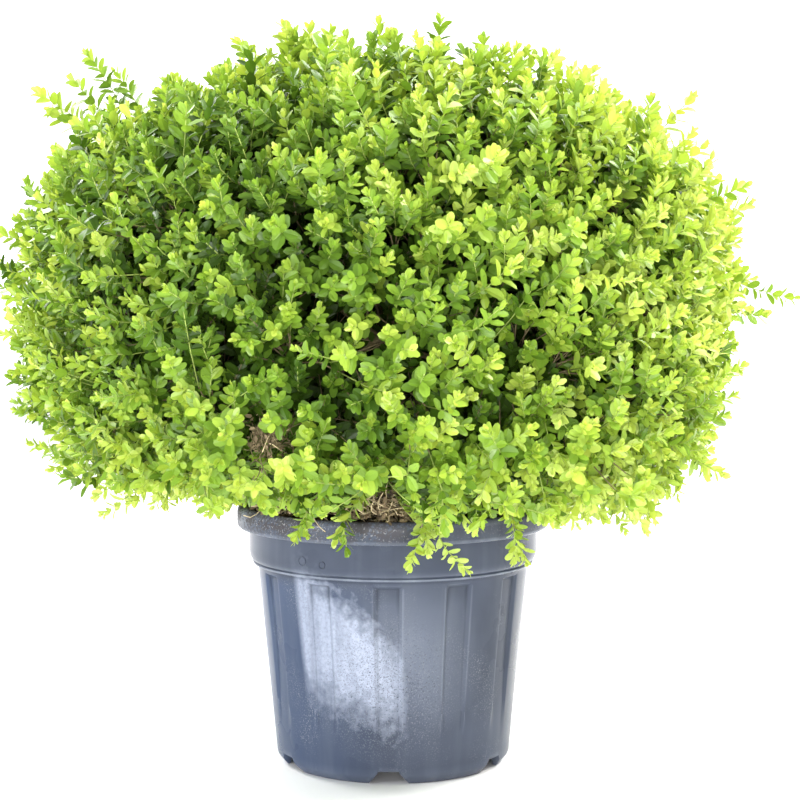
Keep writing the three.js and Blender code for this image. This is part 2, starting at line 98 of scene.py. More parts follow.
# The heights of the rings that shape a flute, each with its share of the flute's depth
FLUTE_RINGS = {
    31: 0, 40: 0.08, 51: 0.25, 66: 0.5, 84: 0.75, 104: 0.92,
    128: 1, 156: 1, 183: 1, 185: 0.8, 187.5: 0,
}

# Two plain mould marks on the pot's band, each as (degrees round, height, radius)
MOULD_MARKS = [(-124.5, 208, 4.2), (-115.5, 206, 3.2)]

# The compost and its loose crumbs
COMPOST_EDGE_Z = 221
COMPOST_CROWN_Z = 229
COMPOST_RADIUS = 134.5
COMPOST_DEPTH = 12
COMPOST_RING_STEP = 4
LEVEL_RADIUS = 34
LEVEL_FADE = 14
CRUMBS = 1500
CRUMB_RADII = (30, 131)

# The compost's lumps, as (height, width, the slice of noise that they follow)
COMPOST_LUMPS = [(1.7, 22, 3), (1.1, 7, 9)]

# The main stem and the boughs
STEM_FOOT = np.array([0, 0, 229.3])
STEM_TIP = np.array([-7, 2.8, 313.3])
STEM_BEND = np.array([1, -1, 271.3])
STEM_FOOT_RADIUS = 24
STEM_RADIUS = 15
STEM_TIP_RADIUS = 9.5
BOUGH_ROOT_RADIUS = 7.6
BOUGH_TIP_RADIUS = 4.6
BOUGH_TIP_SHARE = 0.655
BOUGH_TIP_Z = 398
BOUGH_TIP_STEP_Z = 5
BOUGH_BEND_OUT = 92
BOUGH_BEND_RISE = 88
CAP_BOUGH_BEND = np.array([-12, 6, 470])
CAP_BOUGH_TIP = np.array([-2, 3, 595.6])
FIRST_FORK_SHARE = 0.36
FORK_STEP_SHARE = 0.085
MASS_STEM_LENGTH = 60
FURROW_SHARE = 0.12
FLARE_RIDGES = 4
FLARE_RIDGE_SHARE = 0.22
LIMB_END_FADE = 12

# The crown's clipped outline, and the masses that it is parted into
CROWN_MIDDLE = np.array([0, 0, 430])
CROWN_RADIUS = 354
CROWN_RISE = 248
CROWN_DROP = 212
SQUARENESS_ABOVE = 2.4
SQUARENESS_BELOW = 3
SWELL = 0.022
SIDE_MASSES = 7
FIRST_MASS_DEG = -90
CAP_HALF_DEG = 40
POT_CLEARANCE = 3
STEM_SPACE = 96
HEM_Z = 233
HEM_SLOPE_REACH = 240
RIM_PASSING = 12
RIM_HEADROOM = 8

# How the crown branches, from each mass's stem out to its sprigs
BRANCH_ENDS = 84
BRANCH_STRAY = 0.04
BRANCH_DEPTH = 138
BRANCH_DEPTH_STRAY = 8
BRANCH_RADIUS = 3.4
LOWEST_BRANCH = -0.82
TWIG_ENDS = 760
TWIG_STRAY = 0.02
TWIG_DEPTH = 98
TWIG_DEPTH_STRAY = 9
TWIG_RADIUS = 1.7
TWIG_FROM_SHARE = 0.45
TWIG_FORK_STRAY = 1.2
SPRIG_STRAY = 0.018
SPRIG_RADIUS = 0.9
SPRIG_TIP_RADIUS = 0.42
SPRIG_LENGTH = 60
SPRIG_FORK_STRAY = 0.6
LIMB_BEND = 0.36
SPRIG_BEND = 0.42
GREEN_FROM = 0.58
LIFT = 0.7
LIFT_FROM = -0.4
WAY_STRAY = 1.45
TUFT_HEIGHT = 24
TUFTS_ACROSS = 5

# Leaves: their length at each pair below a sprig's tip, and how far they stand off it
LEAF_LENGTHS = [6.5, 9, 11, 12.4, 13.2, 13.6, 13.6, 13.4, 13.2, 13, 12.8, 12.6]
LEAF_SPREADS_DEG = [15, 30, 42, 50, 55, 58, 61, 63, 65, 66, 67, 68]
LEAF_STEPS = [1, 4, 8, 12.5, 17.5, 23, 28.5, 34, 40, 46, 52, 58]
LEAF_WIDTH_SHARE = 0.56
TOP_LEAF_GROWTH = 0.22
LEAF_SPREAD_STRAY_DEG = 7
AGE_PER_PAIR = 0.33
OLDEST_PAIR = 6
LEAF_AGE_STRAY = 0.3
LEAST_SPRIG_SHARE = 0.04

# How chance varies sprigs and leaves, from the least to the most. The bow is its middle and its spread.
SPRIG_SCALES = (0.85, 1.15)
LEAF_SCALES = (0.84, 1.14)
LEAF_WIDTH_SCALES = (0.86, 1.1)
LEAF_CUPS = (0.05, 0.62)
LEAF_BOW = (0.04, 0.1)

# How much a leaf's face turns along its sprig, to the light and at random
FACING_SPRIG = 0.8
FACING_LIGHT = 0.5
FACING_STRAY = 0.9
LIGHT_LIFT = np.array([0, 0, 0.35])

# A leaf's outline: shares of its length along the midrib, and (length share, half width share) on its edge
LeafForm = namedtuple("LeafForm", "midrib edge")
FINE_LEAF = LeafForm(midrib=[0, 0.34, 0.7, 1], edge=[(0.14, 0.5), (0.42, 0.96), (0.73, 0.95), (0.93, 0.55)])
PLAIN_LEAF = LeafForm(midrib=[0, 0.5, 1], edge=[(0.23, 0.68), (0.57, 1), (0.9, 0.6)])
INNER_LEAF = LeafForm(midrib=[0, 1], edge=[(0.28, 0.95), (0.76, 0.88)])

# The crown's layers of sprigs, from its clipped surface inwards. Age counts in steps of tint; the deeper
# layers' darker tints are partly real age and partly painted shade inside the crown.
Layer = namedtuple("Layer", "sprigs depth stray pairs leaf_size age form")
LAYERS = [
    Layer(4200, 4, 13, 8, 1, 0.15, PLAIN_LEAF),
    Layer(2600, 34, 10, 8, 1.02, 2.3, INNER_LEAF),
    Layer(1350, 66, 12, 7, 1.35, 3.7, INNER_LEAF),
    Layer(850, 104, 12, 6, 1.85, 4.6, INNER_LEAF),
    Layer(480, 148, 14, 6, 2.6, 5.4, INNER_LEAF),
]
LONG_SHOOTS = Layer(190, -16, 10, 12, 1, -0.1, FINE_LEAF)
SHOOT_STRAY = 0.12
LOWEST_SHOOT = -0.5
SHOOT_LIFT = np.array([0, 0, 0.12])
SHOOT_WAY_STRAY = 0.5
SHOOT_TIP_ROOM = 6

# Where the crown's trimmed hem is higher at the pot's rim, so that the rim shows
HemLift = namedtuple("HemLift", "round_deg spread_deg height")
HEM_LIFTS = [HemLift(-128, 22, 31), HemLift(-90, 6, 36), HemLift(-57, 10, 16)]

# Where the shears cut deeper than the even outline
Trim = namedtuple("Trim", "round_deg up_deg spread_deg depth")
TRIMS = [
    Trim(0, -6, 20, 40),
    Trim(0, 36, 16, 34),
    Trim(0, 68, 14, 36),
    Trim(-42, 66, 13, 20),
    Trim(42, 66, 13, 20),
    Trim(0, 88, 16, 12),
    Trim(0, -38, 14, 24),
    Trim(180, 70, 12, 10),
    Trim(180, 48, 12, 28),
    Trim(180, -44, 14, 42),
    Trim(-128, -48, 16, 14),
]

# The leaves' colours, from the palest young tips to the oldest leaves inside, whose dark tints also serve as
# painted shade in the crown's depths
TINTS = {
    "pale": (0.44, 0.56, 0.13),
    "lime": (0.385, 0.5, 0.08),
    "fresh": (0.28, 0.41, 0.05),
    "mid": (0.175, 0.3, 0.03),
    "deep": (0.1, 0.192, 0.018),
    "dark": (0.052, 0.115, 0.009),
    "inner": (0.03, 0.064, 0.006),
}
LEAF_ROUGHNESS = 0.38
LEAF_GLOW_SHARE = 0.3

# Finishes of one plain colour, as (colour, roughness, shine)
PLAIN_FINISHES = {
    "leaf_dry": ((0.19, 0.145, 0.085), 0.7, 0.2),
    "green_stem": ((0.29, 0.37, 0.085), 0.55, 0.3),
    "twig_bark": ((0.135, 0.108, 0.058), 0.8, 0.15),
    "dry_stem": ((0.52, 0.43, 0.26), 0.75, 0.2),
}

# The places of the tips of long young shoots that stand past the clipped outline
LONG_SHOOT_TIPS = [
    (383, -24, 446), (-374, 4, 471), (-372, -30, 412), (-358, -10, 336), (64, -373, 418), (-48, 373, 452),
    (45, 0, 714), (-14, 10, 711), (-97, -20, 698), (-147, -20, 688), (108, 0, 684), (127, -24, 679),
    (190, -20, 660), (-263, -20, 660), (-288, -24, 676), (-334, -34, 640), (282, -24, 635), (311, 0, 556),
    (340, -10, 537), (-210, 262, 618), (-172, -64, 244), (-262, -110, 250), (-236, -120, 262),
    (-318, -70, 286), (-302, -28, 652), (-322, -34, 622),
]

# Sprays that hang over the pot's rim, each by the place of its tip, its way, and how young it is
Spray = namedtuple("Spray", "tip way youth")
HANGING_SPRAYS = [
    Spray((73, -192, 211), (0.8, -0.2, -0.55), 1.9),
    Spray((21, -192, 214), (-0.3, -0.3, -0.9), 0.5),
    Spray((38, -184, 226), (0.2, -0.4, -0.9), 0.6),
    Spray((-33, -192, 228), (0.2, -0.3, -0.9), 0),
    Spray((-44, -186, 236), (-0.3, -0.3, -0.9), -0.2),
    Spray((-79, -180, 236), (-0.2, -0.3, -0.9), 0.9),
    Spray((-68, -184, 242), (0.3, -0.4, -0.85), 0.6),
    Spray((124, -150, 213), (0.3, -0.2, -0.9), 0.7),
    Spray((112, -158, 215), (-0.2, -0.2, -0.9), 0.5),
]

# Hollows in the crown, which only its outer layers leave open. Dry litter is caught in the first two.
Hollow = namedtuple("Hollow", "round_deg up_deg radius")
HOLLOWS = [
    Hollow(-105, -16, 30),
    Hollow(60, 5, 24),
    Hollow(-85, -19, 26),
    Hollow(-100, 14, 15),
    Hollow(-140, 20, 17),
    Hollow(-62, -6, 15),
    Hollow(-72, -7, 16),
    Hollow(-72, -15, 20),
    Hollow(-84, -7, 12),
    Hollow(150, -10, 24),
]
HOLLOW_DEPTH = 50
HOLLOW_MIDDLE_DEPTH = 12

# Litter caught in the hollows and at the pot's rim. Lengths, radii and heights are the least and the most.
LITTERED_HOLLOWS = 2
LITTER_DEPTH = 32
CAUGHT_BITS = 190
CAUGHT_LEAF_LENGTHS = (3, 8)
CAUGHT_TWIG_LENGTHS = (9, 26)
CAUGHT_STRAWS = 18
DEAD_LEAVES = 760
DEAD_LEAF_LENGTHS = (4.5, 11)
DEAD_LEAF_RADII = (96, 150)
BED_EDGE_RADIUS = 132
BED_Z = 230
DRY_STRAWS = 300
STRAW_LENGTHS = (14, 44)
STRAW_RADII = (112, 142)
STRAW_FOOT_HEIGHTS = (246, 268)

# How thick caught bits and straws are, as the radius at the foot and at the tip
CAUGHT_THICKNESS = (0.55, 0.3)
STRAW_THICKNESS = (0.75, 0.4)

# Where the rim shows, each as its middle angle and its spread, and the shares of litter there and anywhere
FRONT_LEFT_RIM = (-2.35, 0.35)
FRONT_RIM = (-1.57, 0.17)
RIM_SHARES = [0.28, 0.32, 0.4]

# How old the crown's sprays look, with painted light dealt out as youth: the younger and paler, the further
# they lie towards the key light at the right and top, or below the hem's start
YOUNG_AND_LIT_WAY = np.array([0.5, 0.1, 0.42])
YOUNG_AND_LIT_BELOW = -0.12
HEM_YOUTH_AND_LIGHT = 1.9
MIDDLE_AGE = 1.15
AGE_AND_LIGHT_SLOPE = 0.95
AGE_STRAY = 0.8
AGE_WAVES = 1.1
AGE_WAVES_ACROSS = 2.6

# Where the crown's sprays are older, or younger where the share is below 0: partly real age, partly painted
# shade where older and painted light where younger
AgeAndShadePatch = namedtuple("AgeAndShadePatch", "round_deg up_deg tightness share")
AGE_AND_SHADE_PATCHES = [
    AgeAndShadePatch(-112, 20, 5, 1.1),
    AgeAndShadePatch(-150, -34, 5, -1.4),
    AgeAndShadePatch(-40, 28, 5, -0.5),
    AgeAndShadePatch(-92, -42, 14, 1.5),
    AgeAndShadePatch(-86, 10, 9, 0.4),
    AgeAndShadePatch(-66, -24, 7, -0.6),
    AgeAndShadePatch(-10, -22, 6, 0.5),
]

# The stage: a floor, an upright backdrop behind it, a pale sky and five soft panels of light
FLOOR_SIDE = 30000
BACKDROP_SIDE = 14000
BACKDROP_PLACE = (0, 5500, 6500)
BACKDROP_GLOW = 0.75
SKY_COLOUR = (0.93, 0.96, 1, 1)
SKY_STRENGTH = 0.6
Panel = namedtuple("Panel", "place aim wide tall power colour")
PANELS = {
    "key": Panel((1250, -950, 2350), (60, 0, 430), 800, 800, 116, (1, 0.97, 0.9)),
    "low_fill": Panel((-100, -2700, 330), (0, 0, 330), 2400, 500, 70, (1, 0.98, 0.98)),
    "pot_light": Panel((-1500, -1100, 360), (0, 0, 120), 420, 420, 20, (0.93, 0.96, 1)),
    "back_right": Panel((1800, 1300, 2300), (0, 0, 470), 900, 1300, 95, (1, 1, 1)),
    "back_left": Panel((-1800, 1200, 2200), (0, 0, 420), 900, 1300, 105, (1, 1, 1)),
}


def unit(vectors):
    """Vectors made one long."""
    return vectors / np.maximum(np.linalg.norm(vectors, axis=-1, keepdims=True), 1e-9)


def dot(one, other):
    """The dot products of two lists of vectors, kept as a column."""
    return np.sum(one * other, axis=-1, keepdims=True)


def off_axis(places):
    """How far places lie from the pot's axis."""
    return np.hypot(places[..., 0], places[..., 1])


def round_axis(turn, radius, height):
    """Places at angles round the pot's axis."""
    return np.stack([radius * np.cos(turn), radius * np.sin(turn), height], axis=1)


def bell(offset, spread):
    """Shares that fade from 1 at a middle down to 0 away from it."""
    return np.exp(-0.5 * (offset / spread) ** 2)


def rolling(directions, scale, shift=(0, 0, 0)):
    """Soft noise, from -1 to 1, at many directions."""
    return np.array([noise.noise(Vector(way * scale + shift)) for way in directions])


# Camera


def add_camera():
    """The camera at the photograph's place: a little right of the front, looking slightly down."""
    camera = bpy.data.objects.new("camera", bpy.data.cameras.new("camera"))
    bpy.context.scene.collection.objects.link(camera)
    camera.data.sensor_width = SENSOR_WIDTH
    camera.data.lens = CAMERA_FOCAL_PIXELS * SENSOR_WIDTH / PICTURE_SIDE
    turn = math.radians(CAMERA_ROUND_DEG)
    flat = CAMERA_DISTANCE * MM
    camera.location = (flat * math.sin(turn), -flat * math.cos(turn), CAMERA_HEIGHT * MM)
    pitch = math.radians(90 - CAMERA_PITCH_DEG)
    camera.rotation_euler = (pitch, 0, turn - math.radians(CAMERA_PAN_DEG))
    bpy.context.scene.camera = camera


# Meshes and curves


def mesh_piece(name, points, faces_by_size, material):
    """A smooth piece from places in millimetres and faces given as one array for each number of corners."""
    mesh = bpy.data.meshes.new(name)
    corners = np.concatenate([faces.ravel() for faces in faces_by_size])
    sizes = np.concatenate([np.full(len(faces), faces.shape[1]) for faces in faces_by_size])
    mesh.vertices.add(len(points))
    mesh.vertices.foreach_set("co", (points * MM).astype(np.float32).ravel())
    mesh.loops.add(len(corners))
    mesh.loops.foreach_set("vertex_index", corners.astype(np.int32))
    mesh.polygons.add(len(sizes))
    mesh.polygons.foreach_set("loop_start", (np.cumsum(sizes) - sizes).astype(np.int32))
    mesh.polygons.foreach_set("use_smooth", np.ones(len(sizes), bool))
    mesh.update(calc_edges=True)
    mesh.materials.append(material)
    piece = bpy.data.objects.new(name, mesh)
    bpy.context.scene.collection.objects.link(piece)
    return piece


def tubes(paths, radii, sides):
    """Closed round tubes along many paths at once: places, side faces and end faces."""
    count, steps = paths.shape[:2]
    along = unit(np.gradient(paths, axis=1))
    level = unit(np.cross(along, np.array([0.31, 0.17, 0.11])))
    over = np.cross(level, along)
    angles = np.arange(sides) * 2 * math.pi / sides
    ring = level[:, :, None] * np.cos(angles)[:, None] + over[:, :, None] * np.sin(angles)[:, None]
    points = paths[:, :, None] + ring * radii[:, :, None, None]
    first = (np.arange(count) * steps * sides)[:, None, None]
    low = first + (np.arange(steps - 1) * sides)[None, :, None]
    here = np.arange(sides)[None, None, :]
    there = (here + 1) % sides
    walls = np.stack([low + here, low + sides + here, low + sides + there, low + there], axis=-1)
    starts = first[:, :, 0] + np.arange(sides)[None, :]
    ends = first[:, :, 0] + (steps - 1) * sides + np.arange(sides)[::-1][None, :]
    return points.reshape(-1, 3), walls.reshape(-1, 4), np.concatenate([starts, ends])


def curve_points(controls, shares):
    """Places on cubic curves. controls is (curves, 4, 3) and shares is (curves, places)."""
    t = shares[:, :, None]
    weights = [(1 - t) ** 3, 3 * t * (1 - t) ** 2, 3 * t**2 * (1 - t), t**3]
    return sum(weight * controls[:, None, k] for k, weight in enumerate(weights))


def curve_ways(controls, shares):
    """The directions of cubic curves at the same shares."""
    t = shares[:, :, None]
    weights = [(1 - t) ** 2, 2 * t * (1 - t), t**2]
    legs = controls[:, 1:] - controls[:, :-1]
    return unit(sum(weight * legs[:, None, k] for k, weight in enumerate(weights)))


def even_shares(count, steps, first=0, last=1):
    """The same evenly spread shares for many curves."""
    return np.tile(np.linspace(first, last, steps), (count, 1))


def tapered(curves, radius, tip_radius, steps, sides, first=0, last=1):
    """Tapering tubes along a stretch of many curves."""
    shares = even_shares(len(curves), steps, first, last)
    radii = radius + (tip_radius - radius) * shares
    return tubes(curve_points(curves, shares), radii, sides)


# The crown's clipped outline


def swell(azimuth, rise):
    """The slow swells of the clipped surface, as a share of its radius."""
    broad = np.sin(3 * azimuth + 0.7) + 0.8 * np.sin(5 * azimuth - 1.1 + 2 * rise)
    return 1 + SWELL * (broad * 0.6 + 0.7 * np.sin(4 * rise + 2 * azimuth))


def shape_at(directions):
    """The squareness and the height of the outline above or below its middle."""
    above = directions[:, 2] > 0
    return np.where(above, SQUARENESS_ABOVE, SQUARENESS_BELOW), np.where(above, CROWN_RISE, CROWN_DROP)


def pointing(round_deg, up_deg):
    """The direction at an angle round the crown and an angle up."""
    turn, rise = math.radians(round_deg), math.radians(up_deg)
    return np.array([math.cos(turn) * math.cos(rise), math.sin(turn) * math.cos(rise), math.sin(rise)])


def trimmed(directions):
    """How much deeper than the even outline the crown is cut."""
    depth = np.zeros(len(directions))
    for trim in TRIMS:
        off = np.degrees(np.arccos(np.clip(directions @ pointing(trim.round_deg, trim.up_deg), -1, 1)))
        depth += trim.depth * bell(off, trim.spread_deg)
    return depth


def outline_reach(directions):
    """The distances from the crown's middle to its outline."""
    power, height = shape_at(directions)
    total = (off_axis(directions) / CROWN_RADIUS) ** power + (np.abs(directions[:, 2]) / height) ** power
    azimuth = np.arctan2(directions[:, 1], directions[:, 0])
    return total ** (-1 / power) * swell(azimuth, directions[:, 2]) - trimmed(directions)


def way_out(directions):
    """The ways out of the clipped surface."""
    power, height = shape_at(directions)
    places = directions * outline_reach(directions)[:, None]
    wide = np.full(len(height), CROWN_RADIUS)
    sizes = np.stack([wide, wide, height], axis=1)
    steepness = (np.abs(places) / sizes) ** (power[:, None] - 1)
    return unit(np.sign(places) * steepness / sizes)


def in_crown(directions, depth):
    """Places at a depth under the clipped outline, kept up off the pot's rim."""
    places = CROWN_MIDDLE + directions * outline_reach(directions)[:, None]
    places = places - way_out(directions) * np.reshape(depth, (-1, 1))
    over_pot = off_axis(places) < RIM_RADIUS + RIM_PASSING
    lowest = POT_HEIGHT + RIM_HEADROOM + 0.5 * np.reshape(depth, -1)
    places[:, 2] = np.where(over_pot, np.maximum(places[:, 2], lowest), places[:, 2])
    return places


def spiral(count, rng, stray):
    """Directions spread evenly over a sphere, with a little stray."""
    index = np.arange(count)
    z = 1 - 2 * (index + 0.5) / count
    even = round_axis(index * math.pi * (3 - math.sqrt(5)), np.sqrt(1 - z * z), z)
    return unit(even + rng.normal(0, stray, even.shape))


def side_angle(k):
    """The direction of a side mass round the crown."""
    return math.radians(FIRST_MASS_DEG) + k * 2 * math.pi / SIDE_MASSES


def masses_of(directions):
    """The number of the mass whose space holds each direction. The cap is -1."""
    places = in_crown(directions, 0)
    cone = math.radians(CAP_HALF_DEG)
    height = (places - CROWN_MIDDLE)[:, 2]
    past_cone = off_axis(places) * math.cos(cone) - height * math.sin(cone)
    turns = (np.arctan2(places[:, 1], places[:, 0]) - side_angle(0)) * SIDE_MASSES / (2 * math.pi)
    return np.where(past_cone <= 0, -1, np.round(turns).astype(int) % SIDE_MASSES)


def touches_pot(places):
    """True where a place would touch the pot."""
    return np.maximum(off_axis(places) - RIM_RADIUS, places[..., 2] - POT_HEIGHT) < POT_CLEARANCE


def touches_rim(places):
    """True where a place lies in the wall of the pot's rim."""
    radius = off_axis(places)
    in_wall = (radius > BAND_RADIUS - POT_WALL - 1) & (radius < RIM_RADIUS + 1)
    return in_wall & (places[..., 2] < POT_HEIGHT + 1)


def below_hem(places):
    """True where a place hangs lower than the crown's trimmed hem."""
    turn = np.degrees(np.arctan2(places[:, 1], places[:, 0]))
    slope = 1 + (off_axis(places) - RIM_RADIUS) / HEM_SLOPE_REACH
    lifts = [lift.height * bell(turn - lift.round_deg, lift.spread_deg) for lift in HEM_LIFTS]
    return places[:, 2] < HEM_Z + slope * sum(lifts)


def in_a_hollow(places):
    """True where a place lies in one of the crown's hollows."""
    found = np.zeros(len(places), bool)
    for hollow in HOLLOWS:
        middle = in_crown(pointing(hollow.round_deg, hollow.up_deg)[None], HOLLOW_MIDDLE_DEPTH)
        found |= np.linalg.norm(places - middle, axis=1) < hollow.radius
    return found


def crown_limit():
    """The furthest that a leaf may reach along each axis."""
    low, high = solid_box
    return np.array([min(high[0], -low[0]), min(high[1], -low[1]), high[2]]) / MM


# Boughs, branches and twigs


def cubic(start, bend, end):
    """A quadratic curve's four points as a cubic curve."""
    return np.array([start, start + (bend - start) * 2 / 3, end + (bend - end) * 2 / 3, end], float)


def bough_curve(k):
    """A bough's centre line, from the main stem to just inside its mass. The cap's bough is -1."""
    if k < 0:
        return cubic(STEM_TIP, CAP_BOUGH_BEND, CAP_BOUGH_TIP)
    way = np.array([math.cos(side_angle(k)), math.sin(side_angle(k)), 0])
    order = (k * 3) % SIDE_MASSES
    root = STEM_FOOT + (STEM_TIP - STEM_FOOT) * (FIRST_FORK_SHARE + FORK_STEP_SHARE * order)
    tip = way * CROWN_RADIUS * BOUGH_TIP_SHARE + np.array([0, 0, BOUGH_TIP_Z + BOUGH_TIP_STEP_Z * order])
    return cubic(root, way * BOUGH_BEND_OUT + np.array([0, 0, root[2] + BOUGH_BEND_RISE]), tip)


def nearest_of(places, keepers, ends, end_keepers):
    """For each place, the number of the nearest end in the same mass."""
    apart = np.linalg.norm(places[:, None] - ends[None], axis=2)
    return np.argmin(np.where(keepers[:, None] == end_keepers[None], apart, np.inf), axis=1)


def grow_on(starts, start_ways, tips, tip_ways, bend=LIMB_BEND):
    """Cubic curves that leave their starts along one way and reach their tips along another."""
    span = np.linalg.norm(tips - starts, axis=1, keepdims=True)
    controls = [starts, starts + start_ways * span * bend, tips - tip_ways * span * bend, tips]
    return np.stack(controls, axis=1)


def stray_ways(rng, count, size):
    """Random ways, up to half a size along each axis."""
    return (rng.random((count, 3)) - 0.5) * size


def growth_ways(directions, rng):
    """The ways that shoots grow: out of the clipped surface, and turned up to the light."""
    lift = np.where(directions[:, 2:] > LIFT_FROM, LIFT, 0.0) * np.array([0, 0, 1])
    return unit(way_out(directions) + lift + stray_ways(rng, len(directions), WAY_STRAY))


def grow_branches(rng):
    """The masses' stems, the branches that fork from them, and the branches' masses."""
    directions = spiral(BRANCH_ENDS, rng, BRANCH_STRAY)
    directions = directions[directions[:, 2] > LOWEST_BRANCH]
    tips = in_crown(directions, rng.normal(BRANCH_DEPTH, BRANCH_DEPTH_STRAY, len(directions)))
    keepers = masses_of(directions)
    boughs = np.stack([bough_curve(k) for k in range(-1, SIDE_MASSES)])
    bough_tips, stem_ways = boughs[:, 3], unit(boughs[:, 3] - boughs[:, 2])
    ends = bough_tips + stem_ways * MASS_STEM_LENGTH
    mass_stems = grow_on(bough_tips + stem_ways * 0.3, stem_ways, ends, stem_ways)
    shares = rng.random(len(tips)) ** 0.7
    starts = bough_tips[keepers + 1] + stem_ways[keepers + 1] * (MASS_STEM_LENGTH * shares)[:, None]
    return mass_stems, grow_on(starts, stem_ways[keepers + 1], tips, growth_ways(directions, rng)), keepers


def grow_twigs(rng, branches, branch_keepers):
    """Twigs that fork from the branches: their curves and masses."""
    directions = spiral(TWIG_ENDS, rng, TWIG_STRAY)
    tips = in_crown(directions, rng.normal(TWIG_DEPTH, TWIG_DEPTH_STRAY, len(directions)))
    kept = (off_axis(tips) > STEM_SPACE) | (tips[:, 2] > CROWN_MIDDLE[2])
    directions, tips = directions[kept], tips[kept]
    keepers = masses_of(directions)
    parent = nearest_of(tips, keepers, branches[:, 3], branch_keepers)
    shares = TWIG_FROM_SHARE + (1 - TWIG_FROM_SHARE) * rng.random((len(tips), 1))
    starts = curve_points(branches[parent], shares)[:, 0]
    ways = curve_ways(branches[parent], shares)[:, 0]
    ways = unit(ways + stray_ways(rng, len(tips), TWIG_FORK_STRAY))
    return grow_on(starts, ways, tips, growth_ways(directions, rng)), keepers


# Sprigs and leaves. A crown is its twigs with their masses, and the stems and leaves grown on so far.

Crown = namedtuple("Crown", "twigs keepers stems leaves rng")


def sprigs_of(crown, tips, tip_ways, keepers, hanging):
    """The curves of sprigs, each grown on from the nearest twig of its mass, and which of them are clear."""
    parent = nearest_of(tips - tip_ways * SPRIG_LENGTH, keepers, crown.twigs[:, 3], crown.keepers)
    starts = crown.twigs[parent, 3]
    ways = unit(crown.twigs[parent, 3] - crown.twigs[parent, 2])
    ways = unit(ways + stray_ways(crown.rng, len(tips), SPRIG_FORK_STRAY))
    curves = grow_on(starts, ways, tips, tip_ways, SPRIG_BEND)
    clear = ~touches_pot(curve_points(curves, even_shares(len(tips), 9))).any(axis=1)
    clear &= ~below_hem(tips) | hanging
    return curves[clear], clear


def leaves_of(curves, layer, age_and_light, rng):
    """The leaves of sprigs, in opposite pairs set crosswise down from each tip."""
    count, pairs = len(curves), layer.pairs
    samples = curve_points(curves, even_shares(count, 9))
    lengths = np.linalg.norm(np.diff(samples, axis=1), axis=2).sum(axis=1)
    scale = rng.uniform(*SPRIG_SCALES, (count, 1))
    shares = 1 - np.array(LEAF_STEPS[:pairs])[None] * scale / lengths[:, None]
    seats = curve_points(curves, np.clip(shares, 0, 1))
    ways = curve_ways(curves, np.clip(shares, 0, 1))
    first = unit(np.cross(ways, rng.normal(0, 1, (count, 1, 3))))
    odd = (np.arange(pairs) % 2)[None, :, None]
    side = np.where(odd == 1, np.cross(ways, first), first)
    light = unit(seats - CROWN_MIDDLE) + LIGHT_LIFT
    growth = 1 + TOP_LEAF_GROWTH * np.clip((seats[..., 2] - CROWN_MIDDLE[2]) / CROWN_RISE, 0, 1)
    sizes = np.array(LEAF_LENGTHS[:pairs]) * scale * layer.leaf_size * growth
    down = np.minimum(np.arange(pairs), OLDEST_PAIR)[None]
    kept = shares > LEAST_SPRIG_SHARE
    rows = []
    for hand in (-1, 1):
        spread_deg = np.array(LEAF_SPREADS_DEG[:pairs]) + rng.normal(0, LEAF_SPREAD_STRAY_DEG, (count, pairs))
        spread = np.radians(spread_deg)[..., None]
        along = ways * np.cos(spread) + side * hand * np.sin(spread)
        facing = ways * FACING_SPRIG + light * FACING_LIGHT + (rng.random(along.shape) - 0.5) * FACING_STRAY
        length = sizes * rng.uniform(*LEAF_SCALES, (count, pairs))
        age = layer.age + age_and_light[:, None] + AGE_PER_PAIR * down
        age = age + rng.normal(0, LEAF_AGE_STRAY, (count, pairs))
        rows.append([values[kept] for values in (seats, along, facing, length, age)])
    return [np.concatenate(values) for values in zip(*rows)]


def leaf_mesh(seats, along, facing, length, form, rng):
    """Many leaves as half blades that meet at their folded midribs: places and three-cornered faces."""
    count, ribs = len(seats), len(form.midrib)
    over = unit(facing - along * dot(facing, along))
    broad = np.cross(over, along)
    half_width = (length * LEAF_WIDTH_SHARE / 2 * rng.uniform(*LEAF_WIDTH_SCALES, count))[:, None]
    cup = rng.uniform(*LEAF_CUPS, count)[:, None]
    bow = rng.normal(*LEAF_BOW, count)[:, None]
    outline = np.array([*[(share, 0.0) for share in form.midrib], *form.edge])
    share, reach = outline[:, 0], outline[:, 1]
    forward = (share * length[:, None])[..., None]
    lift = (cup * half_width * reach**1.4 - bow * length[:, None] * share**2)[..., None]
    spine = seats[:, None] + along[:, None] * forward + over[:, None] * lift
    across = broad[:, None] * (reach * half_width)[..., None]
    points = np.stack([spine + across, spine - across], axis=1)
    right = []
    for k in range(ribs - 1):
        right += [(k, k + 1, ribs + k), (k + 1, ribs + k + 1, ribs + k)]
    one = np.concatenate([np.array(right), np.array(right)[:, ::-1] + len(outline)])
    starts = (np.arange(count) * 2 * len(outline))[:, None, None]
    return points.reshape(-1, 3), (one[None] + starts).reshape(-1, 3)


def age_and_light_at(directions, rng):
    """How old a spray's leaves look, with painted light and shade dealt out as age: youngest and palest to
    the lit right, above and along the hem, older and darker as painted shade in some soft patches, younger
    and paler in others.
    """
    # Paler towards the key light and down the hem: painted light, partly real youth
    young = directions @ YOUNG_AND_LIT_WAY + HEM_YOUTH_AND_LIGHT * np.clip(YOUNG_AND_LIT_BELOW - directions[:, 2], 0, 1)
    age = MIDDLE_AGE - AGE_AND_LIGHT_SLOPE * young + rng.normal(0, AGE_STRAY, len(directions))
    for patch in AGE_AND_SHADE_PATCHES:
        off = 1 - directions @ pointing(patch.round_deg, patch.up_deg)
        age += patch.share * np.exp(-patch.tightness * off)
    return age + AGE_WAVES * rolling(directions, AGE_WAVES_ACROSS, (5, 0, 0))


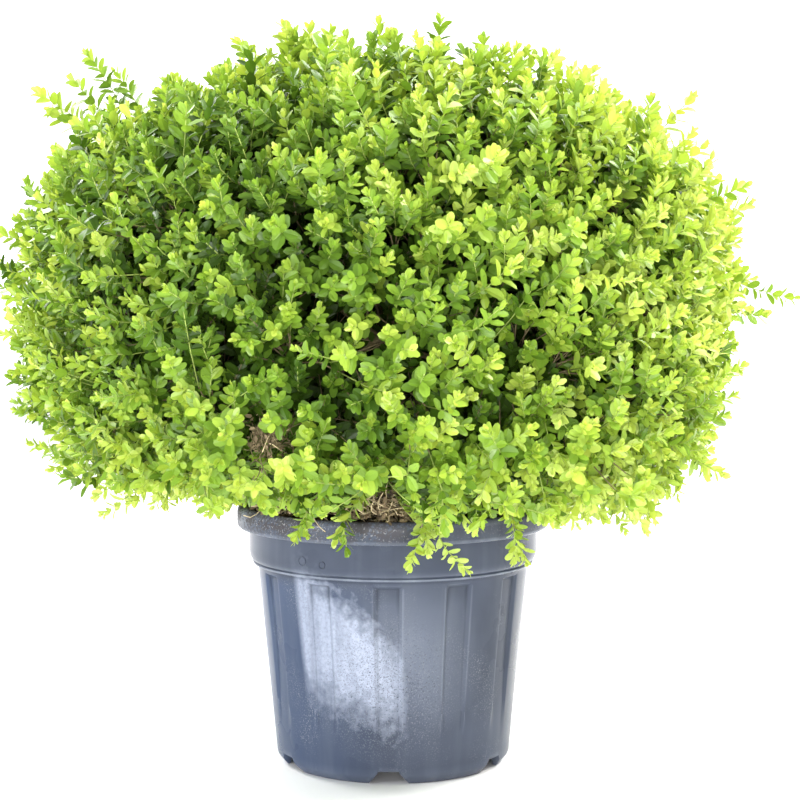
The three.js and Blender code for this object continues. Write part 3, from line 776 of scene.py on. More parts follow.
def grow_layer(crown, layer, directions, tips, ways, youth=0):
    """One layer of sprigs with their leaves, added to the crown's stems and leaves."""
    hanging = layer is LONG_SHOOTS
    curves, clear = sprigs_of(crown, tips, ways, masses_of(directions), hanging)
    green_from = GREEN_FROM if layer.age < 1 else 1
    for name, first, last in (("brown_stems", 0, green_from), ("green_stems", green_from, 1)):
        if first < last:
            crown.stems[name].append(tapered(curves, SPRIG_RADIUS, SPRIG_TIP_RADIUS, 3, 3, first, last))
    age_and_light = age_and_light_at(directions[clear], crown.rng) - np.broadcast_to(youth, len(directions))[clear]
    seats, along, facing, length, age = leaves_of(curves, layer, age_and_light, crown.rng)
    reach = seats + along * length[:, None]
    fits = ~touches_pot(reach) & ~touches_pot(seats) & (np.abs(reach) < crown_limit()).all(axis=1)
    fits &= ~below_hem(reach) | hanging
    tint_number = np.clip(np.round(age), 0, len(TINTS) - 1).astype(int)
    for number, tint in enumerate(TINTS):
        chosen = fits & (tint_number == number)
        leaf_parts = [values[chosen] for values in (seats, along, facing, length)]
        crown.leaves[tint].append(leaf_mesh(*leaf_parts, layer.form, crown.rng))


def grow_long_shoots(crown):
    """The long young shoots that stand past the clipped outline, and the sprays that hang from its hem."""
    directions = spiral(LONG_SHOOTS.sprigs, crown.rng, SHOOT_STRAY)
    directions = directions[directions[:, 2] > LOWEST_SHOOT]
    tips = in_crown(directions, crown.rng.normal(LONG_SHOOTS.depth, LONG_SHOOTS.stray, len(directions)))
    furthest = crown_limit() - SHOOT_TIP_ROOM
    tips = np.concatenate([np.array(LONG_SHOOT_TIPS, float), np.clip(tips, -furthest, furthest)])
    ways = unit(tips - CROWN_MIDDLE) + SHOOT_LIFT + stray_ways(crown.rng, len(tips), SHOOT_WAY_STRAY)
    youth = np.concatenate([np.zeros(len(tips)), [spray.youth for spray in HANGING_SPRAYS]])
    tips = np.concatenate([tips, [spray.tip for spray in HANGING_SPRAYS]])
    ways = unit(np.concatenate([ways, [spray.way for spray in HANGING_SPRAYS]]))
    grow_layer(crown, LONG_SHOOTS, unit(tips - CROWN_MIDDLE), tips, ways, youth)


def dress_crown(finishes):
    """All twigs, sprigs and leaves of the crown, as joined pieces."""
    rng = np.random.default_rng(SEED)
    mass_stems, branches, branch_keepers = grow_branches(rng)
    twigs, keepers = grow_twigs(rng, branches, branch_keepers)
    stems = {"branches": [], "twigs": [], "brown_stems": [], "green_stems": []}
    stems["branches"].append(tapered(mass_stems, BOUGH_TIP_RADIUS, BRANCH_RADIUS, 4, 7))
    stems["branches"].append(tapered(branches, BRANCH_RADIUS, TWIG_RADIUS, 9, 6))
    stems["twigs"].append(tapered(twigs, TWIG_RADIUS, SPRIG_RADIUS, 6, 5))
    crown = Crown(twigs, keepers, stems, {tint: [] for tint in TINTS}, rng)
    for layer in LAYERS:
        directions = spiral(layer.sprigs, rng, SPRIG_STRAY)
        tufts = TUFT_HEIGHT * rolling(directions, TUFTS_ACROSS)
        tips = in_crown(directions, rng.normal(layer.depth, layer.stray, layer.sprigs) - tufts)
        empty = (off_axis(tips) < STEM_SPACE) & (tips[:, 2] < CROWN_MIDDLE[2])
        if layer.depth < HOLLOW_DEPTH:
            empty |= in_a_hollow(tips)
        directions, tips = directions[~empty], tips[~empty]
        grow_layer(crown, layer, directions, tips, growth_ways(directions, rng))
    grow_long_shoots(crown)
    for name, meshes in crown.stems.items():
        finish = finishes["green_stem" if name == "green_stems" else "twig_bark"]
        foliage_piece(name, meshes, finish)
    for tint, meshes in crown.leaves.items():
        for number, group in enumerate(grouped(meshes)):
            foliage_piece(f"leaves_{tint}_{number + 1}", group, finishes[f"leaf_{tint}"])


# Joined pieces, and what each stands for


def triangles_in(mesh):
    """How many triangles a joined mesh comes to."""
    return sum(len(faces) * (faces.shape[1] - 2) for faces in mesh[1:])


def grouped(meshes):
    """Meshes shared out into groups that each stay small enough for one piece."""
    groups, room = [[]], PIECE_TRIANGLES
    for mesh in meshes:
        if triangles_in(mesh) > room and groups[-1]:
            groups.append([])
            room = PIECE_TRIANGLES
        groups[-1].append(mesh)
        room -= triangles_in(mesh)
    return groups


def foliage_piece(name, meshes, finish):
    """One piece of the crown from several meshes, each its places followed by its arrays of faces."""
    by_size = {}
    first = 0
    for points, *arrays in meshes:
        for faces in arrays:
            by_size.setdefault(faces.shape[1], []).append(faces + first)
        first += len(points)
    points = np.concatenate([mesh[0] for mesh in meshes])
    piece = mesh_piece(name, points, [np.concatenate(faces) for faces in by_size.values()], finish)
    settle(piece, ALL_FOLIAGE)


def settle(piece, nodes):
    """A finished piece rides on the plant and stands for its solids, which it hides."""
    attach(piece, "root")
    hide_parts(*nodes)


# Finishes


class Finish:
    """A material made node by node. A node's input takes a value, a colour or another node's output."""

    def __init__(self, name, colour, roughness, shine):
        self.material = bpy.data.materials.new(name)
        self.material.use_nodes = True
        self.tree = self.material.node_tree
        self.shader = self.tree.nodes["Principled BSDF"]
        self.fill(self.shader, {"Base Color": colour, "Roughness": roughness, "Specular IOR Level": shine})

    def fill(self, node, inputs):
        """Sets or joins some of a node's inputs."""
        for key, value in inputs.items():
            socket = node.inputs[key]
            if isinstance(value, bpy.types.NodeSocket):
                self.tree.links.new(value, socket)
            else:
                socket.default_value = (*value, 1) if socket.type == "RGBA" else value

    def add(self, kind, inputs, **settings):
        """A new node."""
        node = self.tree.nodes.new(f"ShaderNode{kind}")
        for name, value in settings.items():
            setattr(node, name, value)
        self.fill(node, inputs)
        return node

    @cached_property
    def place(self):
        """The place on the piece, in metres."""
        return self.add("TexCoord", {}).outputs["Object"]

    def noise(self, scale, detail=3, stretch=(1, 1, 1)):
        """Soft noise over a piece, with a number of waves in a metre."""
        place = self.add("Mapping", {"Vector": self.place, "Scale": stretch}).outputs["Vector"]
        return self.add("TexNoise", {"Vector": place, "Scale": scale, "Detail": detail}).outputs["Fac"]

    def ranged(self, value, low, high, to_low=0.0, to_high=1.0):
        """A value's stretch from low to high, spread over another stretch."""
        ends = {"From Min": low, "From Max": high, "To Min": to_low, "To Max": to_high}
        return self.add("MapRange", {"Value": value, **ends}).outputs["Result"]

    def reckoned(self, operation, one, other):
        """Two values added, multiplied or compared. The second may be a number."""
        return self.add("Math", {0: one, 1: other}, operation=operation).outputs["Value"]

    def plus(self, one, other):
        """The sum of two values."""
        return self.reckoned("ADD", one, other)

    def times(self, share, *others):
        """Several shares multiplied, each a value or a number."""
        for other in others:
            share = self.reckoned("MULTIPLY", share, other)
        return share

    def mixed(self, share, one, other):
        """Two colours mixed by a share. Each may be a colour or another mix."""
        return self.add("Mix", {"Factor": share, 6: one, 7: other}, data_type="RGBA").outputs[2]

    def patch(self, middle, radii, core):
        """A soft oval patch round a place on a piece, whole within its core and gone at its edge."""
        location, scale = [[value * MM for value in values] for values in (middle, radii)]
        oval = {"Vector": self.place, "Location": location, "Scale": scale}
        offset = self.add("Mapping", oval, vector_type="TEXTURE").outputs["Vector"]
        return self.ranged(self.add("VectorMath", {0: offset}, operation="LENGTH").outputs["Value"], 1, core)

    def raised(self, height, strength, distance):
        """Small relief on the surface, from a height value."""
        bump = self.add("Bump", {"Height": height, "Strength": strength, "Distance": distance * MM})
        self.fill(self.shader, {"Normal": bump.outputs["Normal"]})


def leaf_finish(name, colour):
    """A leaf of one plain colour that lets some light through, glossier the younger and paler it is."""
    red, green, blue = colour
    leaf = Finish(name, colour, LEAF_ROUGHNESS, 0.28 + 0.35 * green)
    glow = leaf.add("BsdfTranslucent", {"Color": (min(red * 1.5, 1), min(green * 1.35, 1), blue * 0.8)})
    mix = leaf.add("MixShader", {0: LEAF_GLOW_SHARE, 1: leaf.shader.outputs[0], 2: glow.outputs[0]})
    leaf.fill(leaf.tree.nodes["Material Output"], {"Surface": mix.outputs[0]})
    return leaf.material


def dust_and_highlight_share(pot, x, z):
    """The chalky dust bloom over the panels left of the front flute, partly a painted highlight in place of a
    reflection: crisp at its sides, ragged at its ends.
    """
    height = pot.plus(z, pot.ranged(pot.noise(110, 6), 0.3, 0.7, -0.013, 0.013))
    upper = pot.ranged(pot.plus(height, pot.times(x, 0.75)), 0.152, 0.122)
    lower = pot.ranged(pot.plus(height, pot.times(x, 0.3)), 0.042, 0.088)
    left = pot.ranged(pot.plus(x, pot.times(z, 0.1)), -0.0705, -0.0645)
    right = pot.ranged(x, 0.021, 0.01)
    wiped = pot.ranged(pot.noise(70, 4, (1, 1, 0.12)), 0.36, 0.56, 0.66, 1)
    grainy = pot.ranged(pot.noise(340, 4), 0.34, 0.58, 0.76, 1)
    return pot.times(left, right, upper, lower, wiped, grainy, pot.ranged(x, -0.1, -0.03, 0.72, 1))


def pot_finish():
    """Dark slate moulded plastic with a dusty bloom at its left front that is partly a painted highlight, a
    painted highlight haze, a painted bluish light on its left, grit, worn edges that are partly painted
    highlights, painted shade in its creases and a soiled rim.
    """
    pot = Finish("pot_plastic", (0.05, 0.06, 0.085), 0.3, 0.04)
    pot.fill(pot.shader, {"Coat Weight": 0.16, "Coat Roughness": 0.2, "Coat IOR": 1.4})
    x, y, z = pot.add("SeparateXYZ", {0: pot.place}).outputs
    edge = pot.add("Attribute", {}, attribute_name="wear_and_highlight").outputs["Fac"]
    clouds = pot.ranged(pot.noise(12), 0.2, 0.8)
    streaks = pot.ranged(pot.noise(55, 4, (1, 1, 0.06)), 0.45, 0.72)
    specks = pot.ranged(pot.noise(880, 1), 0.58, 0.66)
    # A soft pale patch on the front right: a painted highlight
    painted_highlight_haze = pot.times(pot.patch((30, -118, 122), (66, 90, 82), 0.2), 0.22)
    front = pot.times(pot.ranged(y, -0.03, -0.06), pot.ranged(z, 0.2, 0.19, 0.25, 1))
    # Dust bloom and painted highlight on the front, joined with the painted highlight haze
    dust_and_highlight = pot.reckoned("MAXIMUM", pot.times(dust_and_highlight_share(pot, x, z), front), painted_highlight_haze)
    gritty = pot.patch((-4, -116, 92), (84, 60, 80), 0.2)
    scattered = pot.ranged(pot.noise(20), 0.52, 0.78)
    on_body = pot.ranged(z, 0.192, 0.18)
    grit = pot.times(pot.reckoned("MAXIMUM", gritty, scattered), specks, on_body)
    pepper = pot.times(gritty, on_body, pot.ranged(pot.noise(640, 2), 0.4, 0.34))
    on_rim = pot.times(pot.ranged(z, 0.224, 0.236), pot.ranged(x, 0.06, -0.02, 0.25, 1))
    soil = pot.times(on_rim, pot.ranged(pot.plus(pot.noise(46), pot.noise(420)), 0.88, 1.02))
    lime = pot.times(on_rim, pot.ranged(pot.noise(560, 2), 0.6, 0.66))
    rubbed = pot.times(pot.ranged(streaks, 0, 1, 0.5, 1), pot.ranged(z, 0.05, 0.09, 0.35, 1))
    # Paler convex edges: partly real wear, partly painted highlights on the flute edges and rim
    wear_and_highlight = pot.times(pot.ranged(edge, 0.03, 0.16), rubbed)
    # Darker concave creases at the flutes, ledge and notches: painted shade
    painted_crease_shade = pot.times(pot.ranged(edge, -0.03, -0.14), 0.75)
    # A bluish cast over the left of the body: painted light
    painted_left_blue_light = pot.times(pot.ranged(x, 0.0, -0.11), on_body)
    grit_colour = pot.mixed(dust_and_highlight, (0.2, 0.21, 0.235), (0.07, 0.08, 0.11))
    colour = pot.mixed(clouds, (0.03, 0.037, 0.055), (0.062, 0.073, 0.102))
    for share, over in (
        (painted_left_blue_light, (0.042, 0.06, 0.106)),
        (pot.times(streaks, 0.18), (0.12, 0.135, 0.16)),
        (pot.times(dust_and_highlight, 0.9), (0.31, 0.345, 0.43)),
        (pot.times(grit, 0.75), grit_colour),
        (pot.times(pepper, 0.7), (0.03, 0.034, 0.045)),
        (wear_and_highlight, (0.26, 0.29, 0.35)),
        (painted_crease_shade, (0.022, 0.027, 0.038)),
        (pot.times(soil, 0.8), (0.05, 0.044, 0.043)),
        (pot.times(lime, 0.5), (0.3, 0.3, 0.31)),
    ):
        colour = pot.mixed(share, colour, over)
    rough = pot.plus(pot.ranged(clouds, 0, 1, 0.24, 0.34), pot.times(dust_and_highlight, 0.2))
    pot.fill(pot.shader, {"Base Color": colour, "Roughness": pot.plus(rough, pot.times(soil, 0.4))})
    pot.raised(pot.plus(pot.noise(26, 2), pot.times(specks, 0.04)), 0.3, 1.4)
    return pot.material


def compost_finish():
    """Dark crumbly compost with paler fibres."""
    compost = Finish("compost", (0.07, 0.045, 0.03), 0.95, 0.2)
    crumbs = compost.noise(210, 6)
    fibres = compost.ranged(compost.noise(420, 3, (1, 0.2, 1)), 0.6, 0.68)
    earth = compost.mixed(compost.ranged(crumbs, 0.35, 0.65), (0.03, 0.02, 0.014), (0.13, 0.088, 0.06))
    compost.fill(compost.shader, {"Base Color": compost.mixed(fibres, earth, (0.24, 0.18, 0.12))})
    compost.raised(crumbs, 0.9, 2.2)
    return compost.material


def bark_finish():
    """Pale corky bark, finely cracked."""
    bark = Finish("bark", (0.36, 0.3, 0.21), 0.86, 0.25)
    plates = bark.noise(150, 5, (1, 1, 0.3))
    cracks = bark.ranged(bark.noise(320, 4, (1, 1, 0.22)), 0.38, 0.5)
    pale = bark.mixed(bark.ranged(plates, 0.35, 0.65), (0.23, 0.185, 0.13), (0.44, 0.38, 0.28))
    bark.fill(bark.shader, {"Base Color": bark.mixed(cracks, (0.09, 0.07, 0.05), pale)})
    bark.raised(bark.plus(plates, cracks), 0.7, 0.8)
    return bark.material


def all_finishes():
    """Every finish of the plant, by its plain name."""
    finishes = {f"leaf_{tint}": leaf_finish(f"leaf_{tint}", colour) for tint, colour in TINTS.items()}
    for name, looks in PLAIN_FINISHES.items():
        finishes[name] = Finish(name, *looks).material
    return {**finishes, "pot": pot_finish(), "compost": compost_finish(), "bark": bark_finish()}


# Shaping by hand


def deselect():
    """Nothing selected, ready for the next piece."""
    bpy.ops.object.select_all(action="DESELECT")


def finished(name, finish):
    """The active object as a named piece at the origin, out of edit mode, with a finish."""
    bpy.ops.object.mode_set(mode="OBJECT")
    piece = bpy.context.object
    bpy.ops.object.transform_apply(location=True, rotation=True, scale=True)
    piece.name = piece.data.name = name
    piece.data.materials.clear()
    piece.data.materials.append(finish)
    return piece


def select_corners(test):
    """Selects the corners of the piece in edit mode whose place in millimetres passes a test."""
    bpy.ops.mesh.select_mode(type="VERT")
    bpy.ops.mesh.select_all(action="DESELECT")
    data = bpy.context.object.data
    mesh = bmesh.from_edit_mesh(data)
    for corner in mesh.verts:
        corner.select_set(bool(test(*(corner.co / MM))))
    mesh.select_flush(True)
    bmesh.update_edit_mesh(data)


def face_outwards():
    """Turns all faces of the piece in edit mode outwards."""
    bpy.ops.mesh.select_all(action="SELECT")
    bpy.ops.mesh.normals_make_consistent(inside=False)


def turn_up(profile):
    """In edit mode, a round shell extruded from ring to ring of (radius, height), closed at both poles."""
    radius, height = profile[0]
    bpy.ops.mesh.primitive_circle_add(
        vertices=POT_SIDES, radius=radius * MM, location=(0, 0, height * MM), enter_editmode=True
    )
    for next_radius, next_height in profile[1:]:
        step = {"value": (0, 0, (next_height - height) * MM)}
        bpy.ops.mesh.extrude_edges_move(TRANSFORM_OT_translate=step)
        share = next_radius / radius
        bpy.ops.transform.resize(value=(share, share, 1), center_override=(0, 0, 0))
        radius, height = next_radius, next_height
    bpy.ops.mesh.merge(type="CENTER")
    select_corners(lambda x, y, z: abs(z) < 0.01 and math.hypot(x, y) < POLE_RADIUS + 0.1)
    bpy.ops.mesh.merge(type="CENTER")
    face_outwards()


def apply_bevel(width, corners, angle_deg):
    """Rounds the active piece's sharp edges."""
    bevel = bpy.context.object.modifiers.new("bevel", "BEVEL")
    bevel.width = width * MM
    bevel.segments = corners
    bevel.limit_method = "ANGLE"
    bevel.angle_limit = math.radians(angle_deg)
    bpy.ops.object.modifier_apply(modifier="bevel")
    bpy.ops.object.shade_smooth_by_angle(angle=math.radians(SMOOTH_DEG))


# The pot


def body_radius(z):
    """The outer radius of the pot's body at a height, on the lands between the flutes."""
    share = (z - FOOT_CHAMFER) / (BAND_FOOT_Z - FOOT_CHAMFER)
    return BODY_FOOT_RADIUS + (BODY_TOP_RADIUS - BODY_FOOT_RADIUS) * share


def arc(middle, radii, first_deg, last_deg, steps):
    """Corners on a part of an ellipse, as (radius, height)."""
    turns = np.radians(np.linspace(first_deg, last_deg, steps))
    return [(middle[0] + radii[0] * math.cos(t), middle[1] + radii[1] * math.sin(t)) for t in turns]


def pot_profile():
    """The pot's section, from the middle of its underside round to the middle of its floor."""
    skirt = FOOT_RADIUS - SKIRT_WALL
    inner = BAND_RADIUS - POT_WALL
    rim_foot = POT_HEIGHT - RIM_DEPTH
    ledge = body_radius(BAND_FOOT_Z)
    return [
        (POLE_RADIUS, POT_FLOOR_Z),
        (60, POT_FLOOR_Z),
        (skirt, POT_FLOOR_Z),
        (skirt, 0.8),
        (skirt + 0.8, 0),
        (FOOT_RADIUS - 0.6, 0),
        (FOOT_RADIUS + 0.3, 0.5),
        (BODY_FOOT_RADIUS - 0.5, FOOT_CHAMFER - 0.7),
        (BODY_FOOT_RADIUS + 0.2, FOOT_CHAMFER + 1.2),
        *[(body_radius(z), z) for z in (20, *FLUTE_RINGS)],
        (ledge, BAND_FOOT_Z - 2.6),
        (ledge + 1, BAND_FOOT_Z - 1.1),
        *arc((ledge + 3.4, BAND_FOOT_Z + 0.6), (1.5, 1.4), -120, 50, 8),
        (ledge + 4.1, BAND_FOOT_Z + 2.6),
        *arc((BAND_RADIUS - 4.2, BAND_FOOT_Z + 12), (4.2, 9.2), -76, 0, 8),
        (BAND_RADIUS, rim_foot - 0.6),
        (BAND_RADIUS + 0.7, rim_foot),
        (RIM_RADIUS - 4, rim_foot),
        *arc((RIM_RADIUS - 3.4, rim_foot + 4.2), (3.4, 4.2), -80, 0, 6),
        *arc((RIM_RADIUS - 6, POT_HEIGHT - 6.5), (6, 6.5), 0, 180, 12),
        (inner, POT_HEIGHT - 18),
        (inner - 2, BAND_FOOT_Z + 12),
        (body_radius(184) - FLUTE_DEPTH - POT_WALL, 186),
        (body_radius(18) - FLUTE_DEPTH - POT_WALL, 18),
        (POLE_RADIUS, POT_FLOOR_Z + POT_WALL),
    ]


def on_a_flute(x, y):
    """True where a direction lies on the flat of a flute. One flute faces the front."""
    pitch = 360 / FLUTES
    turn = (math.degrees(math.atan2(y, x)) + 90) % pitch
    return min(turn, pitch - turn) < FLUTE_HALF_DEG


def press_flutes():
    """Presses the flutes into the pot's body, ring by ring."""
    for height, share in FLUTE_RINGS.items():
        if share == 0:
            continue
        radius = body_radius(height)
        select_corners(
            lambda x, y, z: abs(z + POT_FLOOR_Z - height) < 0.2
            and math.hypot(x, y) > radius - 1
            and on_a_flute(x, y)
        )
        pressed = (radius - FLUTE_DEPTH * share) / radius
        bpy.ops.transform.resize(value=(pressed, pressed, 1), center_override=(0, 0, 0))


def add_notch_cutters():
    """The six wedges that open the notches under the pot's foot, as one object."""
    wedges = []
    tall = NOTCH_HEIGHT + CUTTER_BELOW
    flare = (NOTCH_FOOT_WIDTH - NOTCH_HEAD_WIDTH) * tall / NOTCH_HEIGHT
    for k in range(NOTCHES):
        deselect()
        bpy.ops.mesh.primitive_cube_add(size=MM, enter_editmode=True)
        bpy.ops.transform.resize(value=(NOTCH_HEAD_WIDTH, CUTTER_LENGTH, tall))
        bpy.ops.transform.translate(value=(0, -FOOT_RADIUS * MM, (NOTCH_HEIGHT - tall / 2) * MM))
        select_corners(lambda x, y, z: z < 0)
        bpy.ops.transform.resize(value=(1 + flare / NOTCH_HEAD_WIDTH, 1, 1))
        bpy.ops.object.mode_set(mode="OBJECT")
        wedge = bpy.context.object
        wedge.rotation_euler.z = math.radians(k * 360 / NOTCHES)
        wedges.append(wedge)
    for wedge in wedges:
        wedge.select_set(True)
    bpy.ops.object.join()
    return bpy.context.object


def make_pot(finish):
    """The nursery pot: a fluted body, a plain band, a rolled rim, and notches under its foot."""
    deselect()
    turn_up(pot_profile())
    press_flutes()
    pot = finished("pot_shell", finish)
    cutters = add_notch_cutters()
    deselect()
    bpy.context.view_layer.objects.active = pot
    pot.select_set(True)
    notch = pot.modifiers.new("notches", "BOOLEAN")
    notch.operation = "DIFFERENCE"
    notch.object = cutters
    bpy.ops.object.modifier_apply(modifier="notches")
    bpy.data.objects.remove(cutters)
    apply_bevel(BEVEL, 2, 28)
    store_wear_and_highlight(pot.data)
    settle(pot, ["pot"])
    make_mould_marks(finish)


def store_wear_and_highlight(mesh):
    """Stores how far each corner of a mesh stands out as an edge, which its finish shows as worn and as a
    painted highlight.
    """
    places = np.array([corner.co for corner in mesh.vertices])
    normals = np.array([corner.vector for corner in mesh.vertex_normals])
    ends = np.array([edge.vertices for edge in mesh.edges])
    apart = unit(places[ends[:, 1]] - places[ends[:, 0]])
    bulge = np.zeros(len(places))
    count = np.zeros(len(places))
    for end, way in ((0, -apart), (1, apart)):
        np.add.at(bulge, ends[:, end], np.sum(way * normals[ends[:, end]], axis=1))
        np.add.at(count, ends[:, end], 1)
    wear_and_highlight = mesh.attributes.new("wear_and_highlight", "FLOAT", "POINT")
    wear_and_highlight.data.foreach_set("value", (bulge / count).astype(np.float32))


def make_mould_marks(finish):
    """Two small plain rings moulded on the pot's band."""
    out = (BAND_RADIUS - 0.2) * MM
    for number, (round_deg, height, radius) in enumerate(MOULD_MARKS):
        deselect()
        turn = math.radians(round_deg)
        size = {"radius": radius * MM, "depth": 2 * MM}
        bpy.ops.mesh.primitive_cylinder_add(vertices=40, **size, enter_editmode=True)
        select_corners(lambda x, y, z: z > 0)
        bpy.ops.mesh.inset(thickness=0.8 * MM, depth=-1.2 * MM)
        bpy.context.object.location = (out * math.cos(turn), out * math.sin(turn), height * MM)
        bpy.context.object.rotation_euler = (math.radians(90), 0, turn + math.radians(90))
        mark = finished(f"mould_mark_{number + 1}", finish)
        apply_bevel(0.25, 2, 40)
        settle(mark, ["pot"])


# The compost


def compost_height(x, y):
    """The height of the compost's uneven top, which is level round the main stem."""
    radius = math.hypot(x, y)
    level = min(max((radius - LEVEL_RADIUS) / LEVEL_FADE, 0), 1)
    rise = COMPOST_CROWN_Z - (COMPOST_CROWN_Z - COMPOST_EDGE_Z) * (radius / COMPOST_RADIUS) ** 2.2
    lumps = sum(height * noise.noise(Vector((x, y, z)) / width) for height, width, z in COMPOST_LUMPS)
    return rise + level * lumps - (1 - level) * 0.2


def make_compost(finish):
    """The compost: a plug in the pot's mouth with a low uneven mound on top."""
    deselect()
    foot = COMPOST_EDGE_Z - COMPOST_DEPTH
    rings = [(radius, COMPOST_EDGE_Z) for radius in range(132, 4, -COMPOST_RING_STEP)]
    turn_up([(POLE_RADIUS, foot), (COMPOST_RADIUS - 1, foot), (COMPOST_RADIUS, COMPOST_EDGE_Z - 1), *rings])
    bed = finished("compost_bed", finish)
    for corner in bed.data.vertices:
        x, y, z = corner.co / MM
        if z > COMPOST_EDGE_Z - 0.5:
            corner.co.z = compost_height(x, y) * MM
    bpy.ops.object.shade_smooth()
    settle(bed, ["compost"])
    scatter_crumbs(finish)


def scatter_crumbs(finish):
    """Loose crumbs and grit over the compost."""
    rng = np.random.default_rng(SEED + 1)
    radius = np.sqrt(rng.uniform(CRUMB_RADII[0] ** 2, CRUMB_RADII[1] ** 2, CRUMBS))
    places = round_axis(rng.uniform(0, 2 * math.pi, CRUMBS), radius, np.zeros(CRUMBS))
    places[:, 2] = [compost_height(x, y) + 0.4 for x, y, _ in places]
    corners = np.array([(1, 0, 0), (0, 1, 0), (-1, 0, 0), (0, -1, 0), (0, 0, 1), (0, 0, -1)], float)
    faces = np.array([(0, 1, 4), (1, 2, 4), (2, 3, 4), (3, 0, 4), (1, 0, 5), (2, 1, 5), (3, 2, 5), (0, 3, 5)])
    sizes = rng.gamma(2.2, 0.75, (CRUMBS, 1, 1)) + 0.6
    shapes = corners[None] * sizes * rng.uniform(0.6, 1.3, (CRUMBS, 1, 3))
    shapes = shapes + rng.normal(0, 0.25, (CRUMBS, len(corners), 3))
    faces = (faces[None] + np.arange(CRUMBS)[:, None, None] * len(corners)).reshape(-1, 3)
    crumbs = mesh_piece("compost_crumbs", (places[:, None] + shapes).reshape(-1, 3), [faces], finish)
    settle(crumbs, ["compost"])


# The main stem and the boughs


def make_limb(name, controls, radius, tip_radius, flare, finish, node):
    """A round limb along a curve, closed at both ends, with lengthwise furrows raised in its bark."""
    deselect()
    bpy.ops.curve.primitive_bezier_curve_add(location=(0, 0, 0))
    curve = bpy.context.object.data
    curve.dimensions = "3D"
    curve.resolution_u = 30
    curve.bevel_depth = MM
    curve.bevel_resolution = 6
    curve.use_fill_caps = True
    start, end = curve.splines[0].bezier_points
    for point, place, before, after, thickness in (
        (start, controls[0], 2 * controls[0] - controls[1], controls[1], radius),
        (end, controls[3], controls[2], 2 * controls[3] - controls[2], tip_radius),
    ):
        point.handle_left_type = point.handle_right_type = "FREE"
        point.co = Vector(place * MM)
        point.handle_left = Vector(before * MM)
        point.handle_right = Vector(after * MM)
        point.radius = thickness
    bpy.ops.object.convert(target="MESH")
    bpy.ops.object.mode_set(mode="EDIT")
    bpy.ops.mesh.select_all(action="SELECT")
    bpy.ops.mesh.remove_doubles(threshold=0.01 * MM)
    bpy.ops.mesh.subdivide(number_cuts=1)
    face_outwards()
    limb = finished(name, finish)
    raise_bark(limb, controls, flare)
    bpy.ops.object.shade_smooth()
    settle(limb, [node])


def raise_bark(limb, controls, flare):
    """Moves a limb's surface in and out: furrows along it, and a ridged flare at its foot."""
    shares = even_shares(1, 60)
    line = curve_points(controls[None], shares)[0]
    ways = curve_ways(controls[None], shares)[0]
    for corner in limb.data.vertices:
        place = np.array(corner.co) / MM
        nearest = int(np.argmin(np.linalg.norm(line - place, axis=1)))
        way, share = ways[nearest], shares[0, nearest]
        out = place - line[nearest]
        out = out - way * float(out @ way)
        thickness = float(np.linalg.norm(out))
        if thickness < 0.5:
            continue
        out = out / thickness
        grain = Vector(out * 2.4 * thickness / 6 + way * share * 5)
        furrow = abs(noise.noise(grain * 1.3)) * 1.1 + 0.5 * noise.noise(grain * 3.1)
        ridge = 1 + FLARE_RIDGE_SHARE * math.cos(FLARE_RIDGES * math.atan2(out[1], out[0]))
        spread = flare * (1 - share) ** 5 * ridge
        level = min(share * LIMB_END_FADE, 1) * min((1 - share) * LIMB_END_FADE, 1)
        corner.co = Vector((place + out * (spread + level * (furrow - 0.5) * thickness * FURROW_SHARE)) * MM)


def make_limbs(finish):
    """The main stem and the eight boughs that fork from it."""
    stem = cubic(STEM_FOOT, STEM_BEND, STEM_TIP)
    flare = STEM_FOOT_RADIUS - STEM_RADIUS
    make_limb("main_stem_bark", stem, STEM_RADIUS, STEM_TIP_RADIUS, flare, finish, "main_stem")
    for k in range(-1, SIDE_MASSES):
        place = "cap" if k < 0 else f"side_{k + 1}"
        radius = STEM_TIP_RADIUS if k < 0 else BOUGH_ROOT_RADIUS
        limb = (f"bough_bark_{place}", bough_curve(k), radius, BOUGH_TIP_RADIUS, 0)
        make_limb(*limb, finish, f"bough_{place}")


# Litter caught in the crown and over the rim


def strew_leaves(name, seats, along, facing, lengths, finish, rng):
    """A piece of crumbled dead leaves."""
    foliage_piece(name, [leaf_mesh(seats, unit(along), facing, lengths, INNER_LEAF, rng)], finish)


def bent_bits(foot, way, tip, stray, rng):
    """Loose bent twigs or straws, as curves."""
    ways = [unit(way + stray_ways(rng, len(foot), stray)) for _ in range(2)]
    return grow_on(foot, ways[0], tip, ways[1])


def in_hollows(rng):
    """Places strewn in the littered hollows, with the ways out of them."""
    chosen = [HOLLOWS[k] for k in rng.integers(0, LITTERED_HOLLOWS, CAUGHT_BITS)]
    ways = np.stack([pointing(hollow.round_deg, hollow.up_deg) for hollow in chosen])
    spread = np.array([hollow.radius for hollow in chosen])[:, None] * 0.34
    return in_crown(ways, LITTER_DEPTH) + rng.normal(0, 1, (CAUGHT_BITS, 3)) * spread, ways


